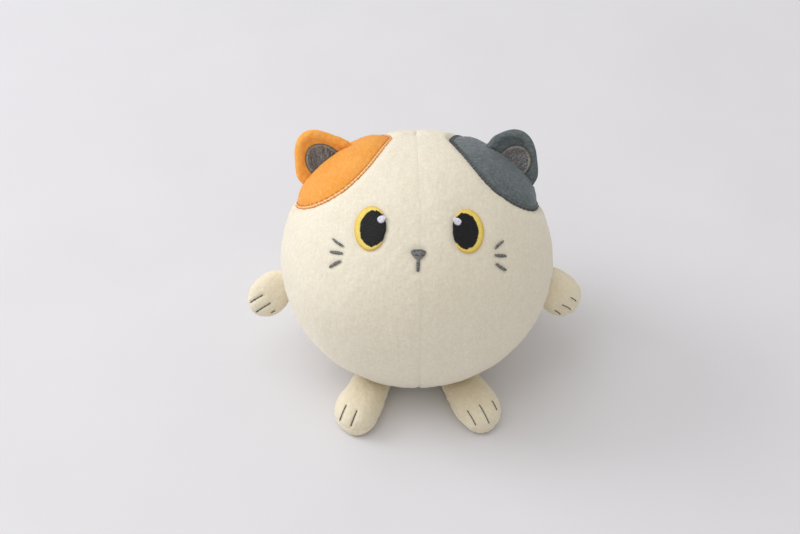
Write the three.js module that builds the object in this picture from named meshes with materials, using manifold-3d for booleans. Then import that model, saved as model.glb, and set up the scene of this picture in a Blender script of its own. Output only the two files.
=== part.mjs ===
// A small round plush cat, sitting, in millimetres, +Z up, facing -Y.
// The ball of the body leans back by LEAN; everything sewn to it is laid out in
// the toy's own frame (x to its left or right, f towards its face, u towards its
// crown) about the middle of the ball.
import * as THREE from "three";
import Module from "manifold-3d";

// ---- driving dimensions ----
const BODY_R = 50; // ball, half width and half depth
const BODY_C = 46; // ball, half height (sags a little under its own weight)
const CENTRE_Z = 43; // middle of the ball above the table, so the base is flattened
const BALL_X = 0.98; // middle of the ball to one side of the middle of the whole toy, as one arm is shorter
const BALL_Y = 0.55; // and behind it, as the legs reach forward
const LEAN = 27; // degrees the toy leans back
const PANEL = 1.5; // plush thickness of the body panels
const LIMB_PANEL = 0.8; // plush thickness of the limb panels
const GAP = 0.3; // between neighbouring pieces
const PATCH_T = 0.9; // plush thickness of the coloured patches
const BROW = 1.5; // how far a patch swells in front of its ear
const SLOT = 2.7; // half width of the seam gap the ear stands in
const PIVOT_OUT = 1.5; // root of a limb above the ball's surface
const TACK_R = 1.1; // knot of thread at a limb's root
const THREAD_T = 0.35; // height of a line of stitching
const FILL_T = 0.5; // height of a filled embroidery
const FACE_ROLL = 1.6; // degrees the embroidered face is turned clockwise
const EYE = { left: [-22.95, 25], right: [20.9, 24.7] }; // eyes, degrees round from the middle seam and above the equator
const NOSE_AT = [-0.54, 13.9]; // nose, the same way
const PATCH_LAT = { left: 38.5, right: 40.3 }; // middle of a patch, degrees from the crown
const PATCH_RHO = 26.2; // radius of a patch in degrees, along the side seam
const PATCH_RHO_F = 4.2; // and how much more it reaches forward
const EAR_LAT = { left: 42.6, right: 44.5 };
const ARM_LAT = -12.5; // root of the arms, degrees below the equator
const ARM_DROP = { left: 28, right: 38 }; // arms hang this far below level
const LEG_ROOT = [16.2, -24.43, 4.0];
const LEG_DIR = [0.3025, -0.953];

const wasm = await Module();
wasm.setup();
const rad = THREE.MathUtils.degToRad;
const V = (x, y, z) => new THREE.Vector3(x, y, z);

// ---- frames ----
const C = V(0, 0, CENTRE_Z);
const FWD = V(0, -Math.cos(rad(LEAN)), Math.sin(rad(LEAN)));
const UP = V(0, Math.sin(rad(LEAN)), Math.cos(rad(LEAN)));
const toyDir = (x, f, u) =>
  V(x, 0, 0).addScaledVector(FWD, f).addScaledVector(UP, u);
const surfR = (d) =>
  1 /
  Math.sqrt(
    (d.x * d.x + d.y * d.y) / (BODY_R * BODY_R) + (d.z * d.z) / (BODY_C * BODY_C),
  );
// point at height off over the ball's surface in the direction d, and the normal there
function onBall(d, off = 0) {
  const n = d.clone().normalize();
  const p = n.clone().multiplyScalar(surfR(n));
  const nn = V(
    p.x / (BODY_R * BODY_R),
    p.y / (BODY_R * BODY_R),
    p.z / (BODY_C * BODY_C),
  ).normalize();
  return { p: p.add(C).addScaledVector(nn, off), n: nn };
}

// ---- mesh helpers ----
function meshOf(tris) {
  const key = new Map(),
    pos = [],
    idx = [];
  const id = (v) => {
    const k = [v.x, v.y, v.z].map((c) => Math.round(c * 2000)).join();
    if (!key.has(k)) {
      key.set(k, pos.length / 3);
      pos.push(v.x, v.y, v.z);
    }
    return key.get(k);
  };
  for (const [a, b, c] of tris) {
    const i = id(a),
      j = id(b),
      k = id(c);
    if (i !== j && j !== k && i !== k) idx.push(i, j, k);
  }
  let vol = 0;
  const at = (i) => V(pos[3 * i], pos[3 * i + 1], pos[3 * i + 2]);
  for (let i = 0; i < idx.length; i += 3)
    vol += at(idx[i]).dot(at(idx[i + 1]).cross(at(idx[i + 2])));
  if (vol < 0)
    for (let i = 0; i < idx.length; i += 3)
      [idx[i + 1], idx[i + 2]] = [idx[i + 2], idx[i + 1]];
  const g = new THREE.BufferGeometry();
  g.setAttribute("position", new THREE.Float32BufferAttribute(pos, 3));
  g.setIndex(idx);
  return g;
}
// closed plate between two grids of points, grid[i][j]
function slab(low, high, ring = false) {
  const nu = low.length,
    nv = low[0].length,
    tris = [];
  const quad = (a, b, c, d) => tris.push([a, b, c], [a, c, d]);
  for (let i = 0; i < (ring ? nu : nu - 1); i++) {
    const k = (i + 1) % nu;
    for (let j = 0; j < nv - 1; j++) {
      quad(high[i][j], high[k][j], high[k][j + 1], high[i][j + 1]);
      quad(low[i][j], low[i][j + 1], low[k][j + 1], low[k][j]);
    }
    quad(low[i][0], low[k][0], high[k][0], high[i][0]);
    quad(
      low[k][nv - 1],
      low[i][nv - 1],
      high[i][nv - 1],
      high[k][nv - 1],
    );
  }
  if (!ring)
    for (let j = 0; j < nv - 1; j++) {
      quad(low[0][j + 1], low[0][j], high[0][j], high[0][j + 1]);
      quad(
        low[nu - 1][j],
        low[nu - 1][j + 1],
        high[nu - 1][j + 1],
        high[nu - 1][j],
      );
    }
  return meshOf(tris);
}
// solid through a row of rings, with a point at either end
function loft(rings, start, end) {
  const tris = [],
    K = rings[0].length;
  for (let i = 0; i < rings.length - 1; i++)
    for (let k = 0; k < K; k++) {
      const m = (k + 1) % K;
      tris.push(
        [rings[i][k], rings[i + 1][k], rings[i + 1][m]],
        [rings[i][k], rings[i + 1][m], rings[i][m]],
      );
    }
  for (let k = 0; k < K; k++) {
    const m = (k + 1) % K;
    tris.push([start, rings[0][k], rings[0][m]]);
    tris.push([end, rings[rings.length - 1][m], rings[rings.length - 1][k]]);
  }
  return meshOf(tris);
}
function toSolid(g) {
  return new wasm.Manifold(
    new wasm.Mesh({
      numProp: 3,
      vertProperties: new Float32Array(g.attributes.position.array),
      triVerts: new Uint32Array(g.index.array),
    }),
  );
}
function fromSolid(s) {
  const m = s.getMesh(),
    g = new THREE.BufferGeometry(),
    v = [];
  for (let i = 0; i < m.numVert; i++)
    v.push(...m.vertProperties.subarray(i * m.numProp, i * m.numProp + 3));
  g.setAttribute("position", new THREE.Float32BufferAttribute(v, 3));
  g.setIndex([...m.triVerts]);
  return g;
}
// everything further than off from the point o in the direction d
function halfSpace(o, d, off) {
  const S = 300,
    z = d.clone().normalize(),
    x = (Math.abs(z.x) < 0.9 ? V(1, 0, 0) : V(0, 1, 0)).cross(z).normalize(),
    y = z.clone().cross(x);
  const c = (i, j, k) =>
    o
      .clone()
      .addScaledVector(x, i * S)
      .addScaledVector(y, j * S)
      .addScaledVector(z, off + k);
  const b = [c(-1, -1, 0), c(1, -1, 0), c(1, 1, 0), c(-1, 1, 0)],
    t = [c(-1, -1, S), c(1, -1, S), c(1, 1, S), c(-1, 1, S)],
    tris = [
      [b[0], b[2], b[1]],
      [b[0], b[3], b[2]],
      [t[0], t[1], t[2]],
      [t[0], t[2], t[3]],
    ];
  for (let i = 0; i < 4; i++) {
    const k = (i + 1) % 4;
    tris.push([b[i], b[k], t[k]], [b[i], t[k], t[i]]);
  }
  return toSolid(meshOf(tris));
}
const root = new THREE.Group();
root.name = "plush_cat";
function add(name, g, colour, roughness = 0.92) {
  const m = new THREE.Mesh(
    g,
    new THREE.MeshStandardMaterial({ color: colour, roughness, metalness: 0 }),
  );
  m.name = name;
  root.add(m);
  return m;
}
const CREAM = 0xe8dfca,
  LIMB_CREAM = 0xe2d8bb,
  FILLING = 0xf2f1ec,
  ORANGE = 0xf0a44a,
  ORANGE_THREAD = 0xe98a2c,
  GREY = 0x676c6d,
  GREY_THREAD = 0x3f4344,
  INNER_EAR = 0x6d686a,
  YELLOW = 0xf5cf4a,
  BLACK = 0x17161c,
  WHITE = 0xe9e8f4,
  THREAD = 0x63645f;

// ---- body: four plush panels over a ball of filling ----
function ball(shrink, floor, segs, rows) {
  const a = BODY_R - shrink,
    c = BODY_C - shrink,
    last = Math.acos((floor - CENTRE_Z) / c),
    rings = [];
  for (let i = 1; i <= rows; i++) {
    const t = (last * i) / rows,
      r = a * Math.sin(t),
      z = i === rows ? floor : CENTRE_Z + c * Math.cos(t),
      ring = [];
    for (let k = 0; k < segs; k++) {
      const p = (2 * Math.PI * (k + 0.5)) / segs;
      ring.push(V(r * Math.cos(p), r * Math.sin(p), z));
    }
    rings.push(ring);
  }
  return loft(rings, V(0, 0, CENTRE_Z + c), V(0, 0, floor));
}
{
  const shell = toSolid(ball(0, 0, 36, 17)).subtract(
    toSolid(ball(PANEL, PANEL, 24, 12)),
  );
  const side = {
    left: halfSpace(C, V(-1, 0, 0), GAP / 2),
    right: halfSpace(C, V(1, 0, 0), GAP / 2),
  };
  const face = {
    front: halfSpace(C, FWD, GAP / 2),
    back: halfSpace(C, FWD.clone().negate(), GAP / 2),
  };
  for (const f of ["front", "back"])
    for (const s of ["left", "right"])
      add(
        `body_panel_${f}_${s}`,
        fromSolid(shell.intersect(side[s]).intersect(face[f])),
        CREAM,
      );
  add("body_filling", ball(PANEL + GAP, PANEL + GAP, 24, 12), FILLING, 0.95);
}

// ---- coloured patches round the ears ----
const SIDE = { left: -1, right: 1 };
// direction rho degrees from the middle of a patch, psi round from the crown side
// (0) through the front (90) to the side of the head (180) and the back (270)
function patchDir(side, rho, psi) {
  const L = rad(PATCH_LAT[side]),
    s = SIDE[side],
    r = rad(rho),
    q = rad(psi),
    c = [s * Math.sin(L), 0, Math.cos(L)],
    t = [-s * Math.cos(L), 0, Math.sin(L)];
  return toyDir(
    c[0] * Math.cos(r) + t[0] * Math.sin(r) * Math.cos(q),
    Math.sin(r) * Math.sin(q),
    c[2] * Math.cos(r) + t[2] * Math.sin(r) * Math.cos(q),
  );
}
const patchRho = (psi) =>
  PATCH_RHO + PATCH_RHO_F * Math.sin(rad(psi)) ** 2 * (psi <= 180 ? 1 : 0.6);
function patch(side, back) {
  const NU = 12,
    NV = 4,
    low = [],
    high = [];
  const sgn = back ? -1 : 1;
  const p0 =
    (Math.asin(SLOT / BODY_R / Math.sin(rad(PATCH_RHO))) * 180) / Math.PI;
  const ends = [p0, 180 - p0].map((p) => patchDir(side, patchRho(p), sgn * p));
  for (let i = 0; i <= NU; i++) {
    const u = i / NU,
      psi = p0 + (180 - 2 * p0) * u,
      arc = patchDir(side, patchRho(back ? 360 - psi : psi), sgn * psi),
      chord = ends[0].clone().lerp(ends[1], (1 - Math.cos(Math.PI * u)) / 2);
    // the straight edge runs at SLOT from the side seam
    const cx = chord.dot(FWD);
    const q = chord.clone().addScaledVector(FWD, -cx).normalize();
    const R = surfR(q);
    const edge = q
      .multiplyScalar(R)
      .addScaledVector(FWD, (sgn * SLOT * R) / BODY_R)
      .normalize();
    const a = [],
      b = [];
    for (let j = 0; j <= NV; j++) {
      const v = j / NV,
        d = i === 0 || i === NU ? arc : edge.clone().lerp(arc, v),
        swell =
          BROW * (back ? 0.5 : 1) * (1 - v) ** 2 * Math.sin(Math.PI * u) ** 2;
      a.push(onBall(d, GAP).p);
      b.push(onBall(d, GAP + PATCH_T + swell).p);
    }
    low.push(a);
    high.push(b);
  }
  return slab(low, high);
}
function patchStitch(side) {
  const N = 40,
    low = [],
    high = [];
  for (let i = 0; i < N; i++) {
    const psi = (360 * i) / N + 4,
      a = [],
      b = [];
    for (const back of [1.75, 0.95]) {
      // degrees in from the edge
      const d = patchDir(side, patchRho(psi) - back, psi);
      const lift = GAP + PATCH_T + 0.25;
      a.push(onBall(d, lift).p);
      b.push(onBall(d, lift + THREAD_T).p);
    }
    low.push(a);
    high.push(b);
  }
  return slab(low, high, true);
}
for (const s of ["left", "right"]) {
  const colour = s === "left" ? ORANGE : GREY,
    word = s === "left" ? "orange" : "grey";
  add(`${word}_patch_front`, patch(s, false), colour);
  add(`${word}_patch_back`, patch(s, true), colour);
  add(
    `${word}_patch_topstitch`,
    patchStitch(s),
    s === "left" ? ORANGE_THREAD : GREY_THREAD,
    0.7,
  );
}

// ---- ears: two plush layers, an inner-ear patch and its satin border ----
const EAR_OUTLINE = {
  // across the ear (outwards +) and up from the ball
  left: [
    [11.9, 1.0], [11.0, 3.2], [9.2, 5.6], [6.9, 8.0], [4.3, 10.4], [1.2, 12.2],
    [-2.0, 12.4], [-5.0, 11.0], [-7.4, 8.5], [-9.4, 5.4], [-10.8, 2.8], [-11.7, 1.0],
  ],
  right: [
    [11.5, 1.0], [10.2, 3.0], [8.2, 5.2], [5.6, 7.3], [2.4, 9.2], [-1.0, 10.5],
    [-4.6, 10.8], [-8.0, 9.6], [-10.2, 7.4], [-11.5, 4.8], [-11.9, 2.6], [-11.7, 1.0],
  ],
};
const INNER_OUTLINE = {
  left: [
    [6.4, 4.2], [5.4, 5.2], [4.0, 6.2], [2.2, 7.1], [0.2, 7.6], [-1.8, 7.2],
    [-3.4, 6.2], [-4.6, 5.2], [-5.4, 4.2],
  ],
  right: [
    [6.2, 4.2], [5.2, 5.2], [3.4, 6.2], [1.0, 6.9], [-1.4, 7.1], [-3.4, 6.9],
    [-5.0, 6.1], [-6.0, 5.2], [-6.4, 4.2],
  ],
};
function earFrame(side) {
  const L = rad(EAR_LAT[side]),
    s = SIDE[side];
  const rd = toyDir(s * Math.sin(L), 0, Math.cos(L));
  return { rd, tg: toyDir(s * Math.cos(L), 0, -Math.sin(L)), R: surfR(rd) };
}
function earPoint(side, t, h, f) {
  const e = earFrame(side);
  return C.clone()
    .addScaledVector(e.rd, e.R + h)
    .addScaledVector(e.tg, t)
    .addScaledVector(FWD, f);
}
const cup = (t) => 1.1 * (t / 12) ** 2; // an ear curls forward at its edges
const sink = (t) => BODY_R - Math.sqrt(BODY_R * BODY_R - t * t); // the ball falls away under it
// thickness of one layer, full in the middle and thin at the sewn edge
const layer = (w) => 0.55 + 0.95 * Math.sqrt(Math.max(0, 1 - w * w));
function earGrid(side, NV) {
  const out = EAR_OUTLINE[side],
    n = out.length,
    grid = [];
  for (let i = 0; i < n; i++) {
    const [t1, h1] = out[i],
      t0 = out[0][0] + ((out[n - 1][0] - out[0][0]) * i) / (n - 1),
      h0 = 1.1 - sink(t0),
      row = [];
    for (let j = 0; j <= NV; j++) {
      const v = j / NV,
        end = i === 0 || i === n - 1;
      const t = t0 + (t1 - t0) * v,
        h = end ? h0 + (h1 - h0) * v : h0 + (h1 - h0) * v;
      const across = Math.abs(2 * (i / (n - 1)) - 1);
      const w = Math.min(1, Math.max(across ** 2.2, v ** 2.4, (1 - v) ** 6));
      row.push([t, h, w]);
    }
    grid.push(row);
  }
  return grid;
}
for (const s of ["left", "right"]) {
  const grid = earGrid(s, 5),
    colour = s === "left" ? ORANGE : GREY;
  for (const [name, sg] of [
    ["front", 1],
    ["back", -1],
  ])
    add(
      `ear_${s}_${name}`,
      slab(
        grid.map((r) =>
          r.map(([t, h]) => earPoint(s, t, h, cup(t) + (sg * GAP) / 2)),
        ),
        grid.map((r) =>
          r.map(([t, h, w]) =>
            earPoint(s, t, h, cup(t) + sg * (GAP / 2 + layer(w))),
          ),
        ),
      ),
      colour,
    );
  // the inner-ear patch lies on the front layer
  const inner = INNER_OUTLINE[s],
    n = inner.length,
    face = (t, h, off) =>
      earPoint(s, t, h, cup(t) + GAP / 2 + layer(0) + 0.25 + off);
  const rows = (scale, base) =>
    inner.map(([t1, h1], i) => {
      const u = i / (n - 1),
        t0 = inner[0][0] + (inner[n - 1][0] - inner[0][0]) * u;
      return [
        [t0, base],
        [(t0 + t1) / 2, (base + h1) / 2],
        [t1, h1],
      ];
    });
  const g = rows(1, 3.6);
  add(
    `ear_${s}_inner`,
    slab(
      g.map((r) => r.map(([t, h]) => face(t, h, 0))),
      g.map((r) => r.map(([t, h]) => face(t, h, FILL_T))),
    ),
    INNER_EAR,
  );
  const cx = (inner[0][0] + inner[n - 1][0]) / 2;
  const band = inner.map(([t, h]) => {
    const grow = (k) => [cx + (t - cx) * (1 + k / 6), 3.6 + (h - 3.6) * (1 + k / 4)];
    return [grow(0.35), grow(1.25)];
  });
  band.unshift([[band[0][0][0], 3.6], [band[0][1][0], 3.6]]);
  band.push([
    [band[band.length - 1][0][0], 3.6],
    [band[band.length - 1][1][0], 3.6],
  ]);
  add(
    `ear_${s}_inner_border`,
    slab(
      band.map((r) => r.map(([t, h]) => face(t, h, 0))),
      band.map((r) => r.map(([t, h]) => face(t, h, FILL_T + 0.1))),
    ),
    THREAD,
    0.6,
  );
}

// ---- embroidered face ----
// a point p across (towards the toy's own +x) and q up, in mm, from the direction az, el
function facePoint(az, el, p, q, off) {
  const a = rad(az),
    e = rad(el),
    c = rad(FACE_ROLL);
  const n = [Math.sin(a) * Math.cos(e), Math.cos(a) * Math.cos(e), Math.sin(e)],
    e1 = [Math.cos(a), -Math.sin(a), 0],
    e2 = [-Math.sin(a) * Math.sin(e), -Math.cos(a) * Math.sin(e), Math.cos(e)],
    k = 48.5;
  const d = [0, 1, 2].map((i) => n[i] * k + e1[i] * p + e2[i] * q);
  const x = d[0] * Math.cos(c) + d[2] * Math.sin(c),
    u = -d[0] * Math.sin(c) + d[2] * Math.cos(c);
  return onBall(toyDir(x, d[1], u), off).p;
}
const ellipse = (cx, cy, a, b, tilt, th) => {
  const t = rad(tilt),
    x = a * Math.cos(th),
    y = b * Math.sin(th);
  return [
    cx + x * Math.cos(t) + y * Math.sin(t),
    cy - x * Math.sin(t) + y * Math.cos(t),
  ];
};
// outwards (away from the nose) is +, top leaning outwards
const IRIS = [0.68, 0.0, 5.95, 8.2, 14];
const PUPIL = [-0.43, -0.1, 4.8, 6.57, 11];
for (const s of ["left", "right"]) {
  const sg = SIDE[s],
    [az, el] = EYE[s];
  const at = (o, q, off) => facePoint(az, el, sg * o, q, off);
  // yellow crescent round the outer side of the pupil
  const N = 18,
    low = [],
    high = [];
  for (let i = 0; i <= N; i++) {
    const a = rad(-122 + (230 * i) / N),
      [x1, y1] = ellipse(PUPIL[0], PUPIL[1], PUPIL[2] + 0.3, PUPIL[3] + 0.3, PUPIL[4], a);
    // the iris outline straight out from there
    const dx = x1 - PUPIL[0],
      dy = y1 - PUPIL[1];
    let lo = 0.5,
      hi = 3;
    for (let m = 0; m < 40; m++) {
      const k = (lo + hi) / 2,
        t = rad(IRIS[4]),
        x = PUPIL[0] + dx * k - IRIS[0],
        y = PUPIL[1] + dy * k - IRIS[1],
        u = (x * Math.cos(t) - y * Math.sin(t)) / IRIS[2],
        v = (x * Math.sin(t) + y * Math.cos(t)) / IRIS[3];
      if (u * u + v * v > 1) hi = k;
      else lo = k;
    }
    const k = Math.max(lo, 1 + 0.45 / Math.hypot(dx, dy)),
      x2 = PUPIL[0] + dx * k,
      y2 = PUPIL[1] + dy * k,
      xm = (x1 + x2) / 2,
      ym = (y1 + y2) / 2;
    low.push([at(x1, y1, GAP), at(xm, ym, GAP), at(x2, y2, GAP)]);
    high.push([
      at(x1, y1, GAP + FILL_T),
      at(xm, ym, GAP + FILL_T + 0.1),
      at(x2, y2, GAP + FILL_T),
    ]);
  }
  add(`eye_${s}_iris`, slab(low, high), YELLOW, 0.5);
  const disc = (cx, cy, a, b, tilt, seg, rows, g0, g1) => {
    const lo = [],
      hi = [];
    for (let i = 0; i < seg; i++) {
      const th = (2 * Math.PI * i) / seg,
        [x, y] = ellipse(cx, cy, a, b, tilt, th),
        l = [],
        h = [];
      for (let j = 0; j <= rows; j++) {
        const k = j / rows;
        l.push(at(cx + (x - cx) * k, cy + (y - cy) * k, g0));
        h.push(at(cx + (x - cx) * k, cy + (y - cy) * k, g1));
      }
      lo.push(l);
      hi.push(h);
    }
    // close the middle on one point
    for (let i = 0; i < seg; i++) {
      lo[i][0] = lo[0][0];
      hi[i][0] = hi[0][0];
    }
    const tris = [];
    for (let i = 0; i < seg; i++) {
      const k = (i + 1) % seg;
      for (let j = 0; j < rows; j++) {
        tris.push([hi[i][j], hi[k][j], hi[k][j + 1]], [hi[i][j], hi[k][j + 1], hi[i][j + 1]]);
        tris.push([lo[i][j], lo[k][j + 1], lo[k][j]], [lo[i][j], lo[i][j + 1], lo[k][j + 1]]);
      }
      tris.push(
        [lo[k][rows], lo[i][rows], hi[i][rows]],
        [lo[k][rows], hi[i][rows], hi[k][rows]],
      );
    }
    return meshOf(tris);
  };
  add(
    `eye_${s}_pupil`,
    disc(PUPIL[0], PUPIL[1], PUPIL[2], PUPIL[3], PUPIL[4], 24, 3, GAP, GAP + FILL_T + 0.15),
    BLACK,
    0.55,
  );
  add(
    `eye_${s}_highlight`,
    disc(-2.95, 3.3, 1.4, 1.4, 0, 14, 1, GAP + FILL_T + 0.45, GAP + FILL_T + 0.85),
    WHITE,
    0.45,
  );
}
// nose and mouth: rows of stitches, [up, left edge, right edge]
function rowsOnFace(az, el, rows, g0, g1) {
  const grid = rows.map(([q, l, r]) => [l, (l + r) / 2, r].map((p) => [p, q]));
  return slab(
    grid.map((r) => r.map(([p, q]) => facePoint(az, el, p, q, g0))),
    grid.map((r) => r.map(([p, q]) => facePoint(az, el, p, q, g1))),
  );
}
add(
  "nose",
  rowsOnFace(
    ...NOSE_AT,
    [[2.8, -2.3, 1.3], [2.4, -3.1, 2.1], [1.7, -3.0, 2.1], [0.9, -2.55, 1.75], [0.2, -1.95, 1.05], [-0.5, -1.25, 0.3]],
    GAP,
    GAP + FILL_T + 0.2,
  ),
  THREAD,
  0.6,
);
add(
  "mouth_line",
  rowsOnFace(
    ...NOSE_AT,
    [[-0.85, -1.08, 0.1], [-2.2, -1.08, 0.06], [-3.4, -1.1, -0.02], [-4.6, -1.12, -0.12]],
    GAP,
    GAP + FILL_T,
  ),
  THREAD,
  0.6,
);
// whiskers: satin bars, from nearest the nose outwards
const WHISKERS = {
  left: [[1.84, 2.3, -3.14, 4.16], [2.02, -0.04, -2.96, -0.45], [1.93, -2.91, -2.19, -5.47]],
  right: [[-3.16, 2.62, 1.09, 4.62], [-3.57, 0.19, 0.82, -0.4], [-3.68, -2.57, 0.05, -5.26]],
};
for (const s of ["left", "right"])
  WHISKERS[s].forEach(([p0, q0, p1, q1], i) => {
    const low = [],
      high = [],
      L = Math.hypot(p1 - p0, q1 - q0),
      nx = -(q1 - q0) / L,
      ny = (p1 - p0) / L;
    for (let k = 0; k <= 4; k++) {
      const u = k / 4,
        w = 0.5 * (k === 0 || k === 4 ? 0.75 : 1),
        p = p0 + (p1 - p0) * u,
        q = q0 + (q1 - q0) * u;
      const at = (m, off) =>
        facePoint(SIDE[s] * 37, 13, p + nx * m, q + ny * m, off);
      low.push([-w, 0, w].map((m) => at(m, GAP)));
      high.push([-w, 0, w].map((m) => at(m, GAP + (m ? 0.35 : FILL_T))));
    }
    add(`whisker_${s}_${i + 1}`, slab(low, high), THREAD, 0.6);
  });

// ---- limbs: front and back (or top and sole) panels over a core of filling ----
const lerpTable = (table, s, col) => {
  if (s <= table[0][0]) return table[0][col];
  for (let i = 1; i < table.length; i++)
    if (s <= table[i][0]) {
      const k = (s - table[i - 1][0]) / (table[i][0] - table[i - 1][0]);
      return table[i - 1][col] * (1 - k) + table[i][col] * k;
    }
  return table[table.length - 1][col];
};
const POW = 0.9;
const sp = (x, e) => Math.sign(x) * Math.abs(x) ** e;
// frame: P root, D along, W across, T out of the front (or top) face
// table rows: [s, half width, height above the seam, depth below the seam, middle's offset across]
function limbSolid(fr, table, inset, s0, s1, floor) {
  const K = 16,
    rings = [];
  const stations = [s0, ...table.map((r) => r[0]).filter((s) => s > s0 + 0.5 && s < s1 - 0.35), s1];
  const at = (s, p, q) =>
    fr.P.clone()
      .addScaledVector(fr.D, s)
      .addScaledVector(fr.W, p)
      .addScaledVector(fr.T, floor === null ? q : Math.max(q, floor - fr.P.z));
  for (const s of stations) {
    const w = lerpTable(table, s, 1) - inset,
      t = lerpTable(table, s, 2) - inset,
      b = lerpTable(table, s, 3) - inset,
      mid = lerpTable(table, s, 4),
      ring = [];
    for (let k = 0; k < K; k++) {
      const a = (2 * Math.PI * k) / K,
        p = mid + w * sp(Math.cos(a), POW),
        q =
          Math.sin(a) >= 0
            ? t * sp(Math.sin(a), POW)
            : b * sp(Math.sin(a), floor === null ? POW : 0.6);
      ring.push(at(s, p, q));
    }
    rings.push(ring);
  }
  return loft(rings, at(s0, lerpTable(table, s0, 4), 0), at(s1, lerpTable(table, s1, 4), 0));
}
function limb(name, fr, table, floor, words, colour) {
  const s0 = table[0][0],
    s1 = table[table.length - 1][0];
  const outer = toSolid(limbSolid(fr, table, 0, s0, s1, floor)),
    inner = toSolid(
      limbSolid(fr, table, LIMB_PANEL, 3.0, s1 - 1.0, floor === null ? null : floor + LIMB_PANEL),
    );
  const shell = outer.subtract(inner);
  add(`${name}_${words[0]}`, fromSolid(shell.intersect(halfSpace(fr.P, fr.T, GAP / 2))), colour);
  add(
    `${name}_${words[1]}`,
    fromSolid(shell.intersect(halfSpace(fr.P, fr.T.clone().negate(), GAP / 2))),
    colour,
  );
  add(
    `${name}_filling`,
    limbSolid(
      fr,
      table,
      LIMB_PANEL + 0.35,
      3.4,
      s1 - 1.4,
      floor === null ? null : floor + LIMB_PANEL + GAP,
    ),
    FILLING,
    0.95,
  );
}
// a line of stitching on the front (or top) face, through [s, across] points
function claw(name, fr, table, pts) {
  const height = (s, p) => {
    const w = lerpTable(table, s, 1),
      mid = lerpTable(table, s, 4),
      m = 2 / POW;
    return lerpTable(table, s, 2) * Math.max(0, 1 - Math.abs((p - mid) / w) ** m) ** (1 / m);
  };
  const at = (s, p, off) => {
    const e = 0.2,
      hs = (height(s + e, p) - height(s - e, p)) / (2 * e),
      hp = (height(s, p + e) - height(s, p - e)) / (2 * e),
      n = fr.T.clone()
        .addScaledVector(fr.D, -hs)
        .addScaledVector(fr.W, -hp)
        .normalize();
    return fr.P.clone()
      .addScaledVector(fr.D, s)
      .addScaledVector(fr.W, p)
      .addScaledVector(fr.T, height(s, p))
      .addScaledVector(n, off);
  };
  const path = [];
  for (let i = 0; i < pts.length - 1; i++)
    for (let k = i ? 1 : 0; k <= 3; k++)
      path.push([0, 1].map((c) => pts[i][c] + ((pts[i + 1][c] - pts[i][c]) * k) / 3));
  const low = [],
    high = [];
  path.forEach(([s, p], i) => {
    const [a, b] = [path[Math.max(0, i - 1)], path[Math.min(path.length - 1, i + 1)]],
      L = Math.hypot(b[0] - a[0], b[1] - a[1]),
      ns = -(b[1] - a[1]) / L,
      np = (b[0] - a[0]) / L;
    low.push([-0.35, 0.35].map((m) => at(s + ns * m, p + np * m, 0.25)));
    high.push([-0.35, 0.35].map((m) => at(s + ns * m, p + np * m, 0.25 + THREAD_T)));
  });
  add(name, slab(low, high), GREY_THREAD, 0.6);
}
function tack(name, P) {
  add(name, new THREE.IcosahedronGeometry(TACK_R, 0).translate(P.x, P.y, P.z), CREAM, 0.7);
}
const ARM = {
  // [along, half width, front, back, middle's offset across]
  left: [
    [1.5, 1.3, 1.1, 1.1, 0],
    [2.2, 2.9, 2.1, 2.1, 0.1],
    [3.0, 4.7, 3.2, 3.2, 0.1],
    [4.5, 6.5, 4.2, 4.2, -0.1],
    [7.0, 7.0, 4.8, 4.8, -0.5],
    [9.5, 6.1, 4.5, 4.5, -0.9],
    [11.3, 4.8, 3.8, 3.8, -1.2],
    [12.6, 3.1, 2.7, 2.7, -1.5],
    [13.4, 1.5, 1.3, 1.3, -1.7],
  ],
  right: [
    [1.5, 1.3, 1.1, 1.1, 0],
    [2.2, 2.9, 2.1, 2.1, -0.2],
    [3.0, 4.7, 3.2, 3.2, -0.5],
    [4.5, 6.4, 4.2, 4.2, -0.8],
    [6.5, 6.8, 4.6, 4.6, -1.2],
    [8.5, 6.1, 4.4, 4.4, -1.5],
    [10.0, 4.9, 3.8, 3.8, -1.6],
    [11.3, 3.1, 2.7, 2.7, -1.9],
    [12.1, 1.5, 1.3, 1.3, -2.1],
  ],
};
const ARM_CLAWS = {
  left: [[[11.6, 1.7], [6.5, 2.1]], [[11.8, -2.4], [5.5, -1.9]], [[7.6, -5.0], [5.4, -4.8]]],
  right: [[[7.1, 1.3], [9.9, 1.5]], [[6.4, -2.8], [10.2, -2.2]], [[5.7, -5.8], [8.2, -5.6]]],
};
for (const s of ["left", "right"]) {
  const sg = SIDE[s],
    l = rad(ARM_LAT),
    drop = rad(ARM_DROP[s]);
  const fr = {
    P: onBall(toyDir(sg * Math.cos(l), 0, Math.sin(l)), PIVOT_OUT).p,
    D: toyDir(sg * Math.cos(drop), 0, -Math.sin(drop)),
    W: toyDir(sg * Math.sin(drop), 0, Math.cos(drop)),
    T: FWD.clone(),
  };
  limb(`arm_${s}`, fr, ARM[s], null, ["front", "back"], LIMB_CREAM);
  tack(`arm_${s}_root_tack`, fr.P);
  ARM_CLAWS[s].forEach((pts, i) => claw(`arm_${s}_claw_${i + 1}`, fr, ARM[s], pts));
}
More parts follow.
